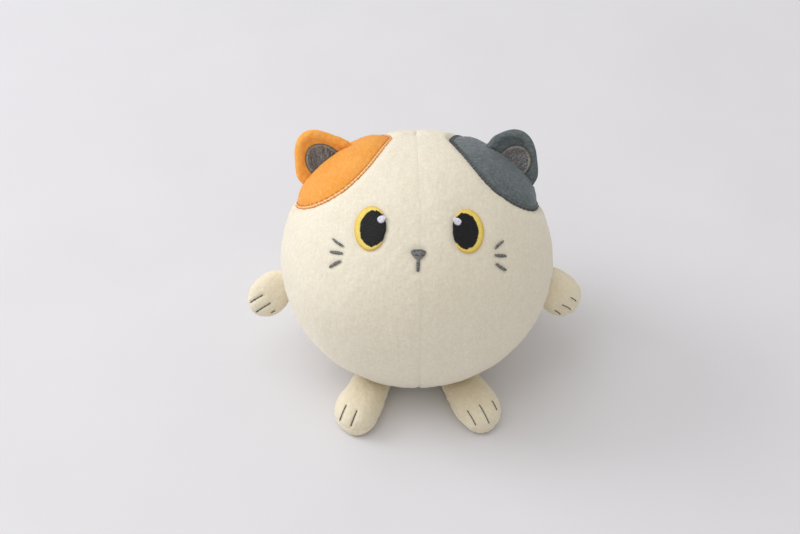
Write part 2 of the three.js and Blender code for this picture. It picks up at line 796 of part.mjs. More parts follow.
const LEG = {
  // [along, half width, above the seam, below the seam, middle's offset across]
  left: [
    [1.5, 1.3, 1.0, 1.0, 0],
    [2.2, 2.9, 1.5, 1.7, 0],
    [3.0, 4.7, 2.1, 2.6, 0.1],
    [4.5, 6.2, 2.7, 3.5, 0.2],
    [7.5, 7.5, 4.0, 4.5, 0.5],
    [12.0, 8.1, 5.8, 4.8, 0.8],
    [17.0, 8.2, 6.4, 4.8, 0.9],
    [21.5, 7.2, 6.0, 4.8, 0.5],
    [24.6, 5.1, 4.5, 4.3, 0.1],
    [26.4, 2.7, 2.7, 2.7, -0.2],
    [27.2, 1.2, 1.1, 1.1, -0.3],
  ],
  right: [
    [1.5, 1.3, 1.0, 1.0, 0],
    [2.2, 2.9, 1.5, 1.7, 0],
    [3.0, 4.7, 2.1, 2.6, 0],
    [4.5, 6.2, 2.7, 3.5, 0],
    [7.5, 7.7, 4.0, 4.5, 0.1],
    [12.0, 8.4, 5.8, 4.8, 0.3],
    [17.0, 8.2, 6.4, 4.8, 0.3],
    [21.5, 6.8, 6.0, 4.8, 0.1],
    [24.6, 4.7, 4.5, 4.3, 0],
    [26.4, 2.5, 2.7, 2.7, -0.2],
    [27.2, 1.2, 1.1, 1.1, -0.1],
  ],
};
const LEG_CLAWS = {
  left: [[[20.2, 4.3], [24.2, 3.9]], [[21.2, -0.3], [25.8, -0.4]]],
  right: [[[20.4, -4.6], [23.8, -3.9]], [[19.2, -0.3], [25.8, 0.0]], [[18.4, 4.7], [22.4, 4.5]]],
};
for (const s of ["left", "right"]) {
  const sg = SIDE[s];
  const fr = {
    P: V(sg * LEG_ROOT[0], LEG_ROOT[1], LEG_ROOT[2]),
    D: V(sg * LEG_DIR[0], LEG_DIR[1], 0).normalize(),
    W: V(-sg * LEG_DIR[1], LEG_DIR[0], 0).normalize(),
    T: V(0, 0, 1),
  };
  limb(`leg_${s}`, fr, LEG[s], 0, ["top", "sole"], LIMB_CREAM);
  tack(`leg_${s}_root_tack`, fr.P);
  LEG_CLAWS[s].forEach((pts, i) => claw(`leg_${s}_claw_${i + 1}`, fr, LEG[s], pts));
}

root.position.set(BALL_X, BALL_Y, 0);
export default root;
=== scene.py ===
import math

import bmesh
import bpy
import numpy as np
from mathutils import Matrix, Vector
from mathutils.bvhtree import BVHTree
from mathutils.kdtree import KDTree


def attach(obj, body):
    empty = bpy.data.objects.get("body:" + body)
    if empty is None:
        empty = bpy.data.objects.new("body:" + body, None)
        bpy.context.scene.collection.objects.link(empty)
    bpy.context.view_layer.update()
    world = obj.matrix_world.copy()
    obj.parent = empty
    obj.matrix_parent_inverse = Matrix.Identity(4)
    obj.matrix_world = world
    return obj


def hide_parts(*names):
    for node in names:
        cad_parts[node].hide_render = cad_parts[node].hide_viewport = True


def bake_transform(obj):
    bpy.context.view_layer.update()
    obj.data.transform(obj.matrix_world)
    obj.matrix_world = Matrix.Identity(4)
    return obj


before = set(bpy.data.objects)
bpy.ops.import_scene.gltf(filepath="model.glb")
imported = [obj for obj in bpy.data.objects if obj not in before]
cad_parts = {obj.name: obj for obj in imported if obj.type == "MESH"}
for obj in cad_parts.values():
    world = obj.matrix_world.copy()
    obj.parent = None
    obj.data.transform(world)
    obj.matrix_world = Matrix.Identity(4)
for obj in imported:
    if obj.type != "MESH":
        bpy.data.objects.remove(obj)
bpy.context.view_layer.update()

MM = 0.001
BALL_X, BALL_Y = 0.98, 0.55
BR, BC, CZ = 50.0, 46.0, 43.0
LEAN = math.radians(27)
FACE_ROLL = math.radians(1.6)
X = np.array([1.0, 0.0, 0.0])
FWD = np.array([0.0, -math.cos(LEAN), math.sin(LEAN)])
UP = np.array([0.0, math.sin(LEAN), math.cos(LEAN)])
C0 = np.array([0.0, 0.0, CZ])
SIDE = {"left": -1, "right": 1}
PER_DEG = BR * math.pi / 180


# ---------------------------------------------------------------- small maths
def unit(v):
    return v / np.maximum(np.linalg.norm(v, axis=-1, keepdims=True), 1e-12)


def toy(x, f, u):
    x, f, u = np.broadcast_arrays(np.asarray(x, float), np.asarray(f, float), np.asarray(u, float))
    return x[..., None] * X + f[..., None] * FWD + u[..., None] * UP


def surf_r(d):
    return 1 / np.sqrt((d[..., 0] ** 2 + d[..., 1] ** 2) / BR**2 + d[..., 2] ** 2 / BC**2)


def on_ball(d, off=0.0):
    """Points at height off over the ball in the directions d, and the normals there."""
    n = unit(np.asarray(d, float))
    p = n * surf_r(n)[..., None]
    nn = unit(p / np.array([BR * BR, BR * BR, BC * BC]))
    return p + C0 + nn * np.asarray(off, float)[..., None], nn


def smooth(x):
    x = np.clip(x, 0, 1)
    return x * x * (3 - 2 * x)


def _hash(ix, iy, iz, seed):
    h = (ix * 73856093) ^ (iy * 19349663) ^ (iz * 83492791) ^ ((seed * 2654435761) % 2147483647)
    h = h & 0xFFFFFFFF
    h = ((h ^ (h >> 16)) * 0x45D9F3B) & 0xFFFFFFFF
    h = ((h ^ (h >> 16)) * 0x45D9F3B) & 0xFFFFFFFF
    h = h ^ (h >> 16)
    return h.astype(float) / 4294967295.0 * 2 - 1


def noise(p, size, seed=0):
    """Smooth value noise, about -1 to 1, with features of size mm."""
    q = np.asarray(p, float) / size + 1000.0
    i = np.floor(q).astype(np.int64)
    f = q - i
    f = f * f * f * (f * (f * 6 - 15) + 10)
    out = np.zeros(q.shape[:-1])
    for dx in (0, 1):
        for dy in (0, 1):
            for dz in (0, 1):
                w = (
                    (f[..., 0] if dx else 1 - f[..., 0])
                    * (f[..., 1] if dy else 1 - f[..., 1])
                    * (f[..., 2] if dz else 1 - f[..., 2])
                )
                out += w * _hash(i[..., 0] + dx, i[..., 1] + dy, i[..., 2] + dz, seed)
    return out


def lump(p):
    """The uneven filling, felt through the fabric."""
    return 0.34 * noise(p, 17, 3) + 0.13 * noise(p, 7, 4)


def pile(p, amp=1.0):
    """Tufts of the short pile."""
    return amp * (0.075 * noise(p, 2.3, 5) + 0.075 * noise(p, 1.15, 6) + 0.05 * noise(p, 0.62, 7))


# ---------------------------------------------------------------- mesh helpers
def new_mesh(name, verts, faces, attrs=None, fix=True, crisp=0):
    """An object from points in mm about the ball and faces."""
    v = np.array(verts, float).reshape(-1, 3) * MM
    v[:, :2] += np.array([BALL_X, BALL_Y]) * MM
    me = bpy.data.meshes.new(name)
    me.from_pydata(v.tolist(), [], [tuple(int(i) for i in f) for f in faces])
    for key, values in (attrs or {}).items():
        a = me.attributes.new(key, "FLOAT", "POINT")
        a.data.foreach_set("value", np.asarray(values, np.float32))
    if fix:
        bm = bmesh.new()
        bm.from_mesh(me)
        bmesh.ops.dissolve_degenerate(bm, dist=1e-8, edges=bm.edges)
        bmesh.ops.recalc_face_normals(bm, faces=bm.faces)
        bm.to_mesh(me)
        bm.free()
    me.polygons.foreach_set("use_smooth", [True] * len(me.polygons))
    if crisp:
        me.set_sharp_from_angle(angle=math.radians(crisp))
    me.update()
    o = bpy.data.objects.new(name, me)
    bpy.context.scene.collection.objects.link(o)
    return o


def grid_faces(nu, nv, base=0, ring=False):
    f = []
    for i in range(nu if ring else nu - 1):
        k = (i + 1) % nu
        for j in range(nv - 1):
            f.append((base + i * nv + j, base + k * nv + j, base + k * nv + j + 1, base + i * nv + j + 1))
    return f


def closed_slab(low, high, ring=False):
    """Vertices and faces of the closed plate between two grids of points [nu, nv, 3]."""
    nu, nv = low.shape[:2]
    n = nu * nv
    v = np.concatenate([high.reshape(-1, 3), low.reshape(-1, 3)])
    f = grid_faces(nu, nv, 0, ring)
    f += [tuple(reversed(x)) for x in grid_faces(nu, nv, n, ring)]
    for i in range(nu if ring else nu - 1):
        k = (i + 1) % nu
        f.append((i * nv, n + i * nv, n + k * nv, k * nv))
        f.append((k * nv + nv - 1, n + k * nv + nv - 1, n + i * nv + nv - 1, i * nv + nv - 1))
    if not ring:
        for j in range(nv - 1):
            f.append((j + 1, n + j + 1, n + j, j))
            b = (nu - 1) * nv
            f.append((b + j, n + b + j, n + b + j + 1, b + j + 1))
    return v, f


def catmull(points, n, closed=False):
    """n points along the smooth curve through points, evenly in parameter."""
    p = np.asarray(points, float)
    if closed:
        p = np.concatenate([p[-1:], p, p[:2]])
        spans = len(points)
    else:
        p = np.concatenate([2 * p[:1] - p[1:2], p, 2 * p[-1:] - p[-2:-1]])
        spans = len(points) - 1
    t = np.linspace(0, spans, n, endpoint=not closed)
    i = np.minimum(t.astype(int), spans - 1)
    u = (t - i)[:, None]
    a, b, c, d = p[i], p[i + 1], p[i + 2], p[i + 3]
    return 0.5 * (2 * b + (c - a) * u + (2 * a - 5 * b + 4 * c - d) * u**2 + (3 * b - a - 3 * c + d) * u**3)


def resample(p, step=None, n=None):
    """The polyline p cut to even steps."""
    p = np.asarray(p, float)
    s = np.concatenate([[0], np.cumsum(np.linalg.norm(np.diff(p, axis=0), axis=1))])
    if n is None:
        n = max(2, int(round(s[-1] / step)) + 1)
    t = np.linspace(0, s[-1], n)
    return np.stack([np.interp(t, s, p[:, k]) for k in range(p.shape[1])], axis=1)


def to_polyline(p, line):
    """Distance of the 2-D points p from a polyline."""
    p = np.asarray(p, float)
    flat = p.reshape(-1, 2)
    a, b = line[:-1], line[1:]
    d = b - a
    l2 = np.maximum((d * d).sum(1), 1e-12)
    best = np.full(len(flat), 1e9)
    for i in range(len(a)):
        t = np.clip(((flat - a[i]) @ d[i]) / l2[i], 0, 1)
        best = np.minimum(best, np.linalg.norm(flat - a[i] - t[:, None] * d[i], axis=1))
    return best.reshape(p.shape[:-1])


# ---------------------------------------------------------------- threads
class Threads:
    """Many stitches gathered in one mesh: each is a closed, slightly flattened strand."""

    def __init__(self):
        self.v, self.f, self.along, self.rnd, self.count = [], [], [], [], 0

    def add(self, pos, nrm, half_w, half_h, taper=0.5, sides=7, seed=0):
        """pos and nrm are [stitches, points, 3]: each strand's centre line and the outward normal."""
        pos, nrm = np.asarray(pos, float), np.asarray(nrm, float)
        s, m = pos.shape[:2]
        tan = np.gradient(pos, axis=1)
        tan = unit(tan)
        side = unit(np.cross(nrm, tan))
        up = unit(np.cross(tan, side))
        x = np.linspace(-1, 1, m)
        thin = taper + (1 - taper) * (1 - np.abs(x) ** 4)
        hw = np.broadcast_to(np.asarray(half_w, float), (s,))[:, None] * thin
        hh = np.broadcast_to(np.asarray(half_h, float), (s,))[:, None] * thin
        th = 2 * np.pi * np.arange(sides) / sides
        ring = (
            pos[:, :, None]
            + side[:, :, None] * (hw[:, :, None] * np.cos(th))[..., None]
            + up[:, :, None] * (hh[:, :, None] * np.sin(th))[..., None]
        )
        per = m * sides + 2
        verts = np.concatenate([ring.reshape(s, m * sides, 3), pos[:, :1], pos[:, -1:]], axis=1)
        faces = []
        for i in range(m - 1):
            for k in range(sides):
                n = (k + 1) % sides
                faces.append((i * sides + k, i * sides + n, (i + 1) * sides + n, (i + 1) * sides + k))
        for k in range(sides):
            n = (k + 1) % sides
            faces.append((m * sides, n, k))
            faces.append((m * sides + 1, (m - 1) * sides + k, (m - 1) * sides + n))
        along = np.concatenate([np.repeat(np.linspace(0, 1, m), sides), [0, 1]])
        r = _hash(np.arange(s) + self.count, np.full(s, seed + 7), np.full(s, 3), 17) * 0.5 + 0.5
        for i in range(s):
            base = len(self.along)
            self.v.append(verts[i])
            self.f += [tuple(base + j for j in f) for f in faces]
            self.along.extend(along)
            self.rnd.extend([r[i]] * per)
        self.count += s

    def pad(self, v, f, rnd=0.4):
        base = len(self.along)
        self.v.append(np.asarray(v, float))
        self.f += [tuple(base + int(j) for j in x) for x in f]
        self.along.extend([0.5] * len(v))
        self.rnd.extend([rnd] * len(v))

    def build(self, name):
        return new_mesh(name, np.concatenate(self.v), self.f, {"along": self.along, "rnd": self.rnd}, fix=True)


def stitches(segments, surf, half_w, half_h, lift, dip, threads, m=7, bulge=0.0, taper=0.5, seed=0):
    """Lays each 2-D segment (a, b) on surf(p2) -> (point, normal), ends dipping into the fabric."""
    seg = np.asarray(segments, float)
    if not len(seg):
        return
    x = np.linspace(0, 1, m)
    p2 = seg[:, None, 0] * (1 - x)[None, :, None] + seg[:, None, 1] * x[None, :, None]
    pos, nrm = surf(p2)
    arch = 1 - np.abs(2 * x - 1) ** 3
    length = np.linalg.norm(seg[:, 1] - seg[:, 0], axis=1)
    up = lift + bulge * np.minimum(length, 4)[:, None] * 0.25 * arch - dip * (1 - arch)
    pos = pos + nrm * up[..., None]
    threads.add(pos, nrm, half_w, half_h, taper=taper, seed=seed)


def fill_rows(poly, angle, pitch, longest, jitter=0.0, seed=0, grow=0.0):
    """Rows of stitches filling a polygon, laid like bricks."""
    poly = np.asarray(poly, float)
    c, s = math.cos(angle), math.sin(angle)
    rot = np.array([[c, s], [-s, c]])
    q = poly @ rot.T
    out = []
    lo, hi = q[:, 1].min(), q[:, 1].max()
    rows = max(1, int(round((hi - lo) / pitch)))
    for r in range(rows):
        y = lo + (r + 0.5) * (hi - lo) / rows
        xs = []
        for i in range(len(q)):
            a, b = q[i], q[(i + 1) % len(q)]
            if (a[1] > y) != (b[1] > y):
                xs.append(a[0] + (y - a[1]) / (b[1] - a[1]) * (b[0] - a[0]))
        xs.sort()
        for k in range(0, len(xs) - 1, 2):
            h = float(_hash(np.array([r]), np.array([k]), np.array([seed]), 5)[0])
            g = float(_hash(np.array([r]), np.array([k + 9]), np.array([seed]), 6)[0])
            x0, x1 = xs[k] - grow + jitter * h, xs[k + 1] + grow + jitter * g
            if x1 - x0 < 0.25:
                continue
            first = x0 + longest * ((r * 0.382) % 1.0)
            cuts = [x0]
            x = first
            while x < x1 - 0.5:
                if x > x0 + 0.5:
                    cuts.append(x)
                x += longest
            cuts.append(x1)
            for a, b in zip(cuts[:-1], cuts[1:]):
                out.append(((a, y), (b, y)))
    out = np.array(out).reshape(-1, 2, 2)
    return out @ np.linalg.inv(rot).T


def across(path, width, pitch, slant=0.0, seed=0, jitter=0.04):
    """Satin stitches across a 2-D path; width may vary along it."""
    p = resample(path, step=pitch)
    t = unit(np.gradient(p, axis=0))
    n = np.stack([-t[:, 1], t[:, 0]], axis=1)
    w = np.interp(np.linspace(0, 1, len(p)), np.linspace(0, 1, len(np.atleast_1d(width))), np.atleast_1d(width))
    j = _hash(np.arange(len(p)), np.full(len(p), 1), np.full(len(p), seed), 8) * jitter
    a = p + n * (w / 2 + j)[:, None] + t * (slant * w / 2)[:, None]
    b = p - n * (w / 2 - j)[:, None] - t * (slant * w / 2)[:, None]
    return np.stack([a, b], axis=1)


def running(path, length, gap, start=0.0):
    """Running stitches along a polyline of points: [(from, to)] as distances along it."""
    s = np.linalg.norm(np.diff(path, axis=0), axis=1).sum()
    out, x = [], start
    while x + length < s:
        out.append((x, x + length))
        x += length + gap
    return out


# ---------------------------------------------------------------- materials
def lin(c):
    c = np.asarray(c, float) / 255
    return tuple(np.where(c <= 0.04045, c / 12.92, ((c + 0.055) / 1.055) ** 2.4)) + (1.0,)


class Mat:
    def __init__(self, name):
        self.m = bpy.data.materials.new(name)
        self.m.use_nodes = True
        self.nt = self.m.node_tree
        self.b = self.nt.nodes["Principled BSDF"]
        self.coord = self.nt.nodes.new("ShaderNodeTexCoord").outputs["Object"]

    def node(self, kind, **values):
        n = self.nt.nodes.new(kind)
        for k, v in values.items():
            if k in n.inputs:
                n.inputs[k].default_value = v
            else:
                setattr(n, k, v)
        return n

    def link(self, a, b):
        self.nt.links.new(a, b)

    def noise(self, scale, detail=2.0, rough=0.5, dist=0.0, coord=None, lac=2.0):
        n = self.node("ShaderNodeTexNoise", Scale=scale, Detail=detail, Roughness=rough, Distortion=dist, Lacunarity=lac)
        self.link(coord or self.coord, n.inputs["Vector"])
        return n.outputs["Fac"]

    def math(self, op, a, b=None, clamp=False):
        n = self.nt.nodes.new("ShaderNodeMath")
        n.operation = op
        n.use_clamp = clamp
        for i, v in enumerate((a, b)):
            if v is None:
                continue
            if isinstance(v, (int, float)):
                n.inputs[i].default_value = v
            else:
                self.link(v, n.inputs[i])
        return n.outputs[0]

    def ramp(self, fac, lo, hi):
        n = self.nt.nodes.new("ShaderNodeMapRange")
        n.inputs["From Min"].default_value = lo
        n.inputs["From Max"].default_value = hi
        self.link(fac, n.inputs["Value"])
        return n.outputs["Result"]

    def mix(self, fac, a, b, mode="MIX"):
        n = self.nt.nodes.new("ShaderNodeMix")
        n.data_type = "RGBA"
        n.blend_type = mode
        if isinstance(fac, (int, float)):
            n.inputs[0].default_value = fac
        else:
            self.link(fac, n.inputs[0])
        for i, v in ((6, a), (7, b)):
            if isinstance(v, tuple):
                n.inputs[i].default_value = v
            else:
                self.link(v, n.inputs[i])
        return n.outputs[2]

    def attr(self, name):
        n = self.nt.nodes.new("ShaderNodeAttribute")
        n.attribute_name = name
        return n.outputs["Fac"]

    def bump(self, height, strength, distance, normal=None):
        n = self.nt.nodes.new("ShaderNodeBump")
        n.inputs["Strength"].default_value = strength
        n.inputs["Distance"].default_value = distance
        self.link(height, n.inputs["Height"])
        if normal is not None:
            self.link(normal, n.inputs["Normal"])
        return n.outputs["Normal"]

    def set(self, **v):
        for k, x in v.items():
            self.b.inputs[k.replace("_", " ")].default_value = x


def plush(name, base, deep, light, sheen=0.45, tint=(1, 1, 1, 1), rim=None, soft=0.12, brush=0.14, grain=(1.0, 0.3, 0.3), ribs=0.3):
    """Short pile: fine fibres in small tufts, brushed a little this way and that."""
    m = Mat(name)
    tuft = m.noise(950, 3, 0.6)
    fibre = m.noise(3600, 2, 0.6)
    brushed = m.noise(110, 2, 0.5, 0.4)
    shade = m.math("ADD", m.math("MULTIPLY", tuft, 0.55), m.math("MULTIPLY", fibre, 0.45))
    c = m.mix(m.ramp(shade, 0.36, 0.62), deep, base)
    c = m.mix(m.math("MULTIPLY", m.ramp(brushed, 0.42, 0.7), brush), c, light)
    # the knit under the pile shows as faint ribs
    turn = m.nt.nodes.new("ShaderNodeVectorMath")
    turn.operation = "MULTIPLY"
    turn.inputs[1].default_value = grain
    m.link(m.coord, turn.inputs[0])
    knit = m.noise(1150, 1, 0.5, coord=turn.outputs[0])
    c = m.mix(m.math("MULTIPLY", m.ramp(knit, 0.45, 0.62), ribs), c, deep)
    # the patch's turned edge: on the orange a painted highlight, lighter; on the grey a darker band
    if rim is not None:
        c = m.mix(m.attr("rim"), c, rim)
    # painted shade: darker towards deep where the dent attribute marks seams, grooves and creases
    dent = m.attr("dent")
    c = m.mix(m.math("MULTIPLY", dent, 0.5), c, deep)
    m.link(c, m.b.inputs["Base Color"])
    n = m.bump(knit, 0.35, 0.00022)
    n = m.bump(tuft, 0.55, 0.00022, n)
    n = m.bump(fibre, 0.5, 0.00009, n)
    m.link(n, m.b.inputs["Normal"])
    m.set(Roughness=0.96, Sheen_Weight=sheen, Sheen_Roughness=0.4, Sheen_Tint=tint)
    m.set(Specular_IOR_Level=0.12, Subsurface_Weight=soft, Subsurface_Scale=0.0016)
    m.b.inputs["Subsurface Radius"].default_value = (1.0, 0.75, 0.5)
    return m.m


def thread(name, base, deep, light, end=None, rough=0.5, sheen=0.25):
    """Rayon or polyester thread: each stitch a little lighter or darker than its neighbour."""
    m = Mat(name)
    r = m.attr("rnd")
    c = m.mix(m.ramp(r, 0.0, 1.0), deep, base)
    ply = m.noise(2600, 2, 0.6)
    c = m.mix(m.math("MULTIPLY", m.ramp(ply, 0.5, 0.72), 0.6), c, light)
    if end is not None:
        c = m.mix(m.math("MULTIPLY", m.ramp(m.attr("along"), 0.55, 1.0), 0.75), c, end)
    m.link(c, m.b.inputs["Base Color"])
    m.link(m.bump(ply, 0.5, 0.00008), m.b.inputs["Normal"])
    m.set(Roughness=rough, Sheen_Weight=sheen, Sheen_Roughness=0.35, Specular_IOR_Level=0.4)
    return m.m


CREAM = plush("cream_plush", lin((242, 235, 217)), lin((229, 220, 199)), lin((249, 244, 231)), 0.5, lin((255, 251, 243)))
LIMB = plush("limb_plush", lin((240, 231, 209)), lin((229, 217, 190)), lin((248, 243, 226)), 0.4, lin((255, 251, 238)))
# the orange's rim colour is a painted highlight along the patch's turned edge
ORANGE = plush("orange_plush", lin((242, 172, 88)), lin((231, 149, 60)), lin((251, 194, 118)), 0.4, lin((255, 214, 160)), lin((255, 218, 168)), soft=0.16)
GREY = plush("grey_plush", lin((119, 127, 128)), lin((88, 95, 98)), lin((150, 157, 159)), 0.35, lin((200, 208, 214)), lin((100, 104, 104)), grain=(0.3, 1.0, 1.0), ribs=0.55)
# the same plush on the ear, painted lighter: painted light standing in for light falling on the ear
ORANGE_EAR_PAINTED_LIGHTER = plush("orange_plush_ear_painted_lighter", lin((255, 186, 98)), lin((250, 166, 74)), lin((255, 204, 130)), 0.5, lin((255, 214, 160)), lin((255, 218, 168)), soft=0.3)
FILLING = plush("filling", lin((242, 241, 236)), lin((220, 220, 214)), lin((252, 252, 250)), 0.3)
ORANGE_THREAD = thread("orange_thread", lin((226, 128, 34)), lin((196, 100, 22)), lin((246, 170, 90)))
DARK_THREAD = thread("dark_thread", lin((78, 80, 82)), lin((54, 56, 59)), lin((120, 122, 124)))
CREAM_THREAD = thread("cream_thread", lin((236, 224, 196)), lin((214, 200, 168)), lin((248, 240, 222)))
GREY_THREAD = thread("grey_thread", lin((134, 135, 132)), lin((72, 74, 74)), lin((196, 197, 194)))
BORDER = thread("ear_border_thread", lin((168, 162, 152)), lin((132, 126, 116)), lin((214, 208, 198)), lin((44, 44, 48)))
INNER = thread("inner_ear_fabric", lin((138, 137, 138)), lin((82, 80, 82)), lin((200, 198, 194)))
YELLOW = thread("yellow_thread", lin((247, 224, 112)), lin((238, 208, 86)), lin((253, 240, 166)), lin((230, 180, 66)), 0.42)
BLACK = thread("black_thread", lin((13, 13, 16)), lin((7, 7, 9)), lin((36, 36, 42)), rough=0.5, sheen=0.08)
WHITE = thread("white_thread", lin((238, 236, 248)), lin((214, 213, 232)), lin((255, 255, 255)), rough=0.4)


def finish_piece(o, mat, slot, body, *stands_for):
    o.data.materials.clear()
    o.data.materials.append(mat)
    if body is not None:
        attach(o, body)
    if stands_for:
        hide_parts(*stands_for)
    return o


# ---------------------------------------------------------------- the face, in its own coordinates
def face_dir(az, el, p, q):
    a, e = math.radians(az), math.radians(el)
    n = np.array([math.sin(a) * math.cos(e), math.cos(a) * math.cos(e), math.sin(e)])
    e1 = np.array([math.cos(a), -math.sin(a), 0])
    e2 = np.array([-math.sin(a) * math.sin(e), -math.cos(a) * math.sin(e), math.cos(e)])
    d = n * 48.5 + np.asarray(p)[..., None] * e1 + np.asarray(q)[..., None] * e2
    x = d[..., 0] * math.cos(FACE_ROLL) + d[..., 2] * math.sin(FACE_ROLL)
    u = -d[..., 0] * math.sin(FACE_ROLL) + d[..., 2] * math.cos(FACE_ROLL)
    return toy(x, d[..., 1], u)


def face_surf(az, el, sg=1):
    """2-D points about (az, el) to the body's surface; the first coordinate is mirrored by sg."""

    def surf(p2):
        d = face_dir(az, el, sg * p2[..., 0], p2[..., 1])
        p, n = on_ball(d)
        return p + n * lump(p)[..., None], n

    return surf


def ellipse(cx, cy, a, b, tilt, th):
    t = math.radians(tilt)
    x, y = a * np.cos(th), b * np.sin(th)
    return np.stack([cx + x * math.cos(t) + y * math.sin(t), cy - x * math.sin(t) + y * math.cos(t)], axis=-1)


def star_pad(threads, poly, surf, low, high, rings=5, dome=0.0):
    """A closed pad under an embroidery, its outline a star about its own middle."""
    poly = np.asarray(poly, float)
    mid = poly.mean(0)
    n = len(poly)
    k = np.linspace(1, 1 / rings, rings)
    v, f = [], []
    for level, sgn in ((high, 1), (low, -1)):
        for r in k:
            p, nn = surf(mid + (poly - mid) * r)
            v.append(p + nn * (level + (dome * (1 - r * r) if sgn > 0 else 0)))
        p, nn = surf(mid[None])
        v.append(p + nn * (level + (dome if sgn > 0 else 0)))
    per = rings * n + 1
    for s in (0, per):
        for r in range(rings - 1):
            for i in range(n):
                j = (i + 1) % n
                q = (s + r * n + i, s + r * n + j, s + (r + 1) * n + j, s + (r + 1) * n + i)
                f.append(q if s == 0 else q[::-1])
        for i in range(n):
            j = (i + 1) % n
            q = (s + (rings - 1) * n + i, s + (rings - 1) * n + j, s + rings * n)
            f.append(q if s == 0 else q[::-1])
    for i in range(n):
        j = (i + 1) % n
        f.append((j, i, per + i, per + j))
    threads.pad(np.concatenate(v), f)


footprints = []  # points where the thread draws the plush in


def foot(surf, poly, step=0.5):
    poly = np.asarray(poly, float)
    lo, hi = poly.min(0), poly.max(0)
    xs, ys = np.arange(lo[0], hi[0] + step, step), np.arange(lo[1], hi[1] + step, step)
    g = np.stack(np.meshgrid(xs, ys), axis=-1).reshape(-1, 2)
    inside = np.zeros(len(g), bool)
    for i in range(len(poly)):
        a, b = poly[i], poly[(i + 1) % len(poly)]
        cross = (a[1] > g[:, 1]) != (b[1] > g[:, 1])
        with np.errstate(divide="ignore", invalid="ignore"):
            x = a[0] + (g[:, 1] - a[1]) / (b[1] - a[1]) * (b[0] - a[0])
        inside ^= cross & (g[:, 0] < x)
    pts = np.concatenate([g[inside], resample(np.concatenate([poly, poly[:1]]), step=step)])
    footprints.append(surf(pts)[0])


IRIS = (0.68, 0.0, 5.95, 8.2, 14)
PUPIL = (-0.43, -0.1, 4.8, 6.57, 11)
EYE = {"left": (-22.95, 25.0), "right": (20.9, 24.7)}
for side, sg in SIDE.items():
    surf = face_surf(*EYE[side], sg)
    th = np.linspace(0, 2 * np.pi, 64, endpoint=False)
    iris = ellipse(*IRIS, th)
    pupil = ellipse(*PUPIL, th)
    # the pupil's edge is a little ragged where the rows of stitches end
    rag = 1 + 0.018 * np.sin(7 * th + 1.0 * sg) + 0.014 * np.sin(13 * th + 2.0)
    pupil = np.array(PUPIL[:2]) + (pupil - np.array(PUPIL[:2])) * rag[:, None]
    foot(surf, iris)
    # yellow satin crescent: threads from under the pupil out to the edge
    t = Threads()
    rim = resample(np.concatenate([iris, iris[:1]]), step=0.27)[:-1]
    centre = np.array(PUPIL[:2])
    away = rim - centre
    dist = np.linalg.norm(away, axis=1)
    w = away / dist[:, None]
    # how far the pupil reaches in that direction
    tl = math.radians(PUPIL[4])
    u = (w[:, 0] * math.cos(tl) - w[:, 1] * math.sin(tl)) / PUPIL[2]
    v = (w[:, 0] * math.sin(tl) + w[:, 1] * math.cos(tl)) / PUPIL[3]
    reach = 1 / np.hypot(u, v)
    keep = dist - reach > 0.5
    seg = np.stack([centre + w * (reach - 0.55)[:, None], rim], axis=1)[keep]
    stitches(seg, surf, 0.17, 0.13, 0.24, 0.2, t, m=8, bulge=0.1, taper=0.7, seed=1)
    d = iris - centre
    far = np.linalg.norm(d, axis=1)
    u = (d[:, 0] * math.cos(tl) - d[:, 1] * math.sin(tl)) / PUPIL[2] / far
    v = (d[:, 0] * math.sin(tl) + d[:, 1] * math.cos(tl)) / PUPIL[3] / far
    pad = np.where(far > 1 / np.hypot(u, v) + 0.5, far - 0.12, np.minimum(far, 1 / np.hypot(u, v)) - 0.35)
    star_pad(t, centre + d / far[:, None] * pad[:, None], surf, -0.5, 0.16)
    o = t.build(f"eye_{side}_iris_satin")
    finish_piece(o, YELLOW, "yellow_thread", "body", f"eye_{side}_iris")
    # pupil: rows of fill stitches
    t = Threads()
    seg = fill_rows(pupil, math.radians(6 * sg), 0.36, 3.1, jitter=0.09, seed=3 + sg)
    stitches(seg, surf, 0.19, 0.12, 0.46, 0.16, t, m=7, bulge=0.04, taper=0.7, seed=2)
    star_pad(t, centre + (pupil - centre) * 0.97, surf, -0.5, 0.4, dome=0.05)
    o = t.build(f"eye_{side}_pupil_fill")
    finish_piece(o, BLACK, "black_thread", "body", f"eye_{side}_pupil")
    # highlight
    t = Threads()
    th2 = np.linspace(0, 2 * np.pi, 20, endpoint=False)
    spot = ellipse(-2.95, 3.3, 1.35, 1.42, 0, th2)
    spot = np.where((spot[:, :1] < -3.2) & (spot[:, 1:] > 3.6), spot + np.array([-0.22, 0.3]), spot)
    seg = fill_rows(spot, math.radians(90), 0.3, 9, jitter=0.03)
    stitches(seg, surf, 0.17, 0.13, 0.74, 0.2, t, m=9, bulge=0.22, taper=0.7, seed=4)
    star_pad(t, np.array([-2.95, 3.3]) + (spot - np.array([-2.95, 3.3])) * 0.85, surf, 0.3, 0.66, rings=3)
    o = t.build(f"eye_{side}_highlight_satin")
    finish_piece(o, WHITE, "white_thread", "body", f"eye_{side}_highlight")

# nose and mouth
nose_surf = face_surf(0, 14)


def surf(p2):
    return nose_surf(p2 + np.array([-0.46, -0.1]))


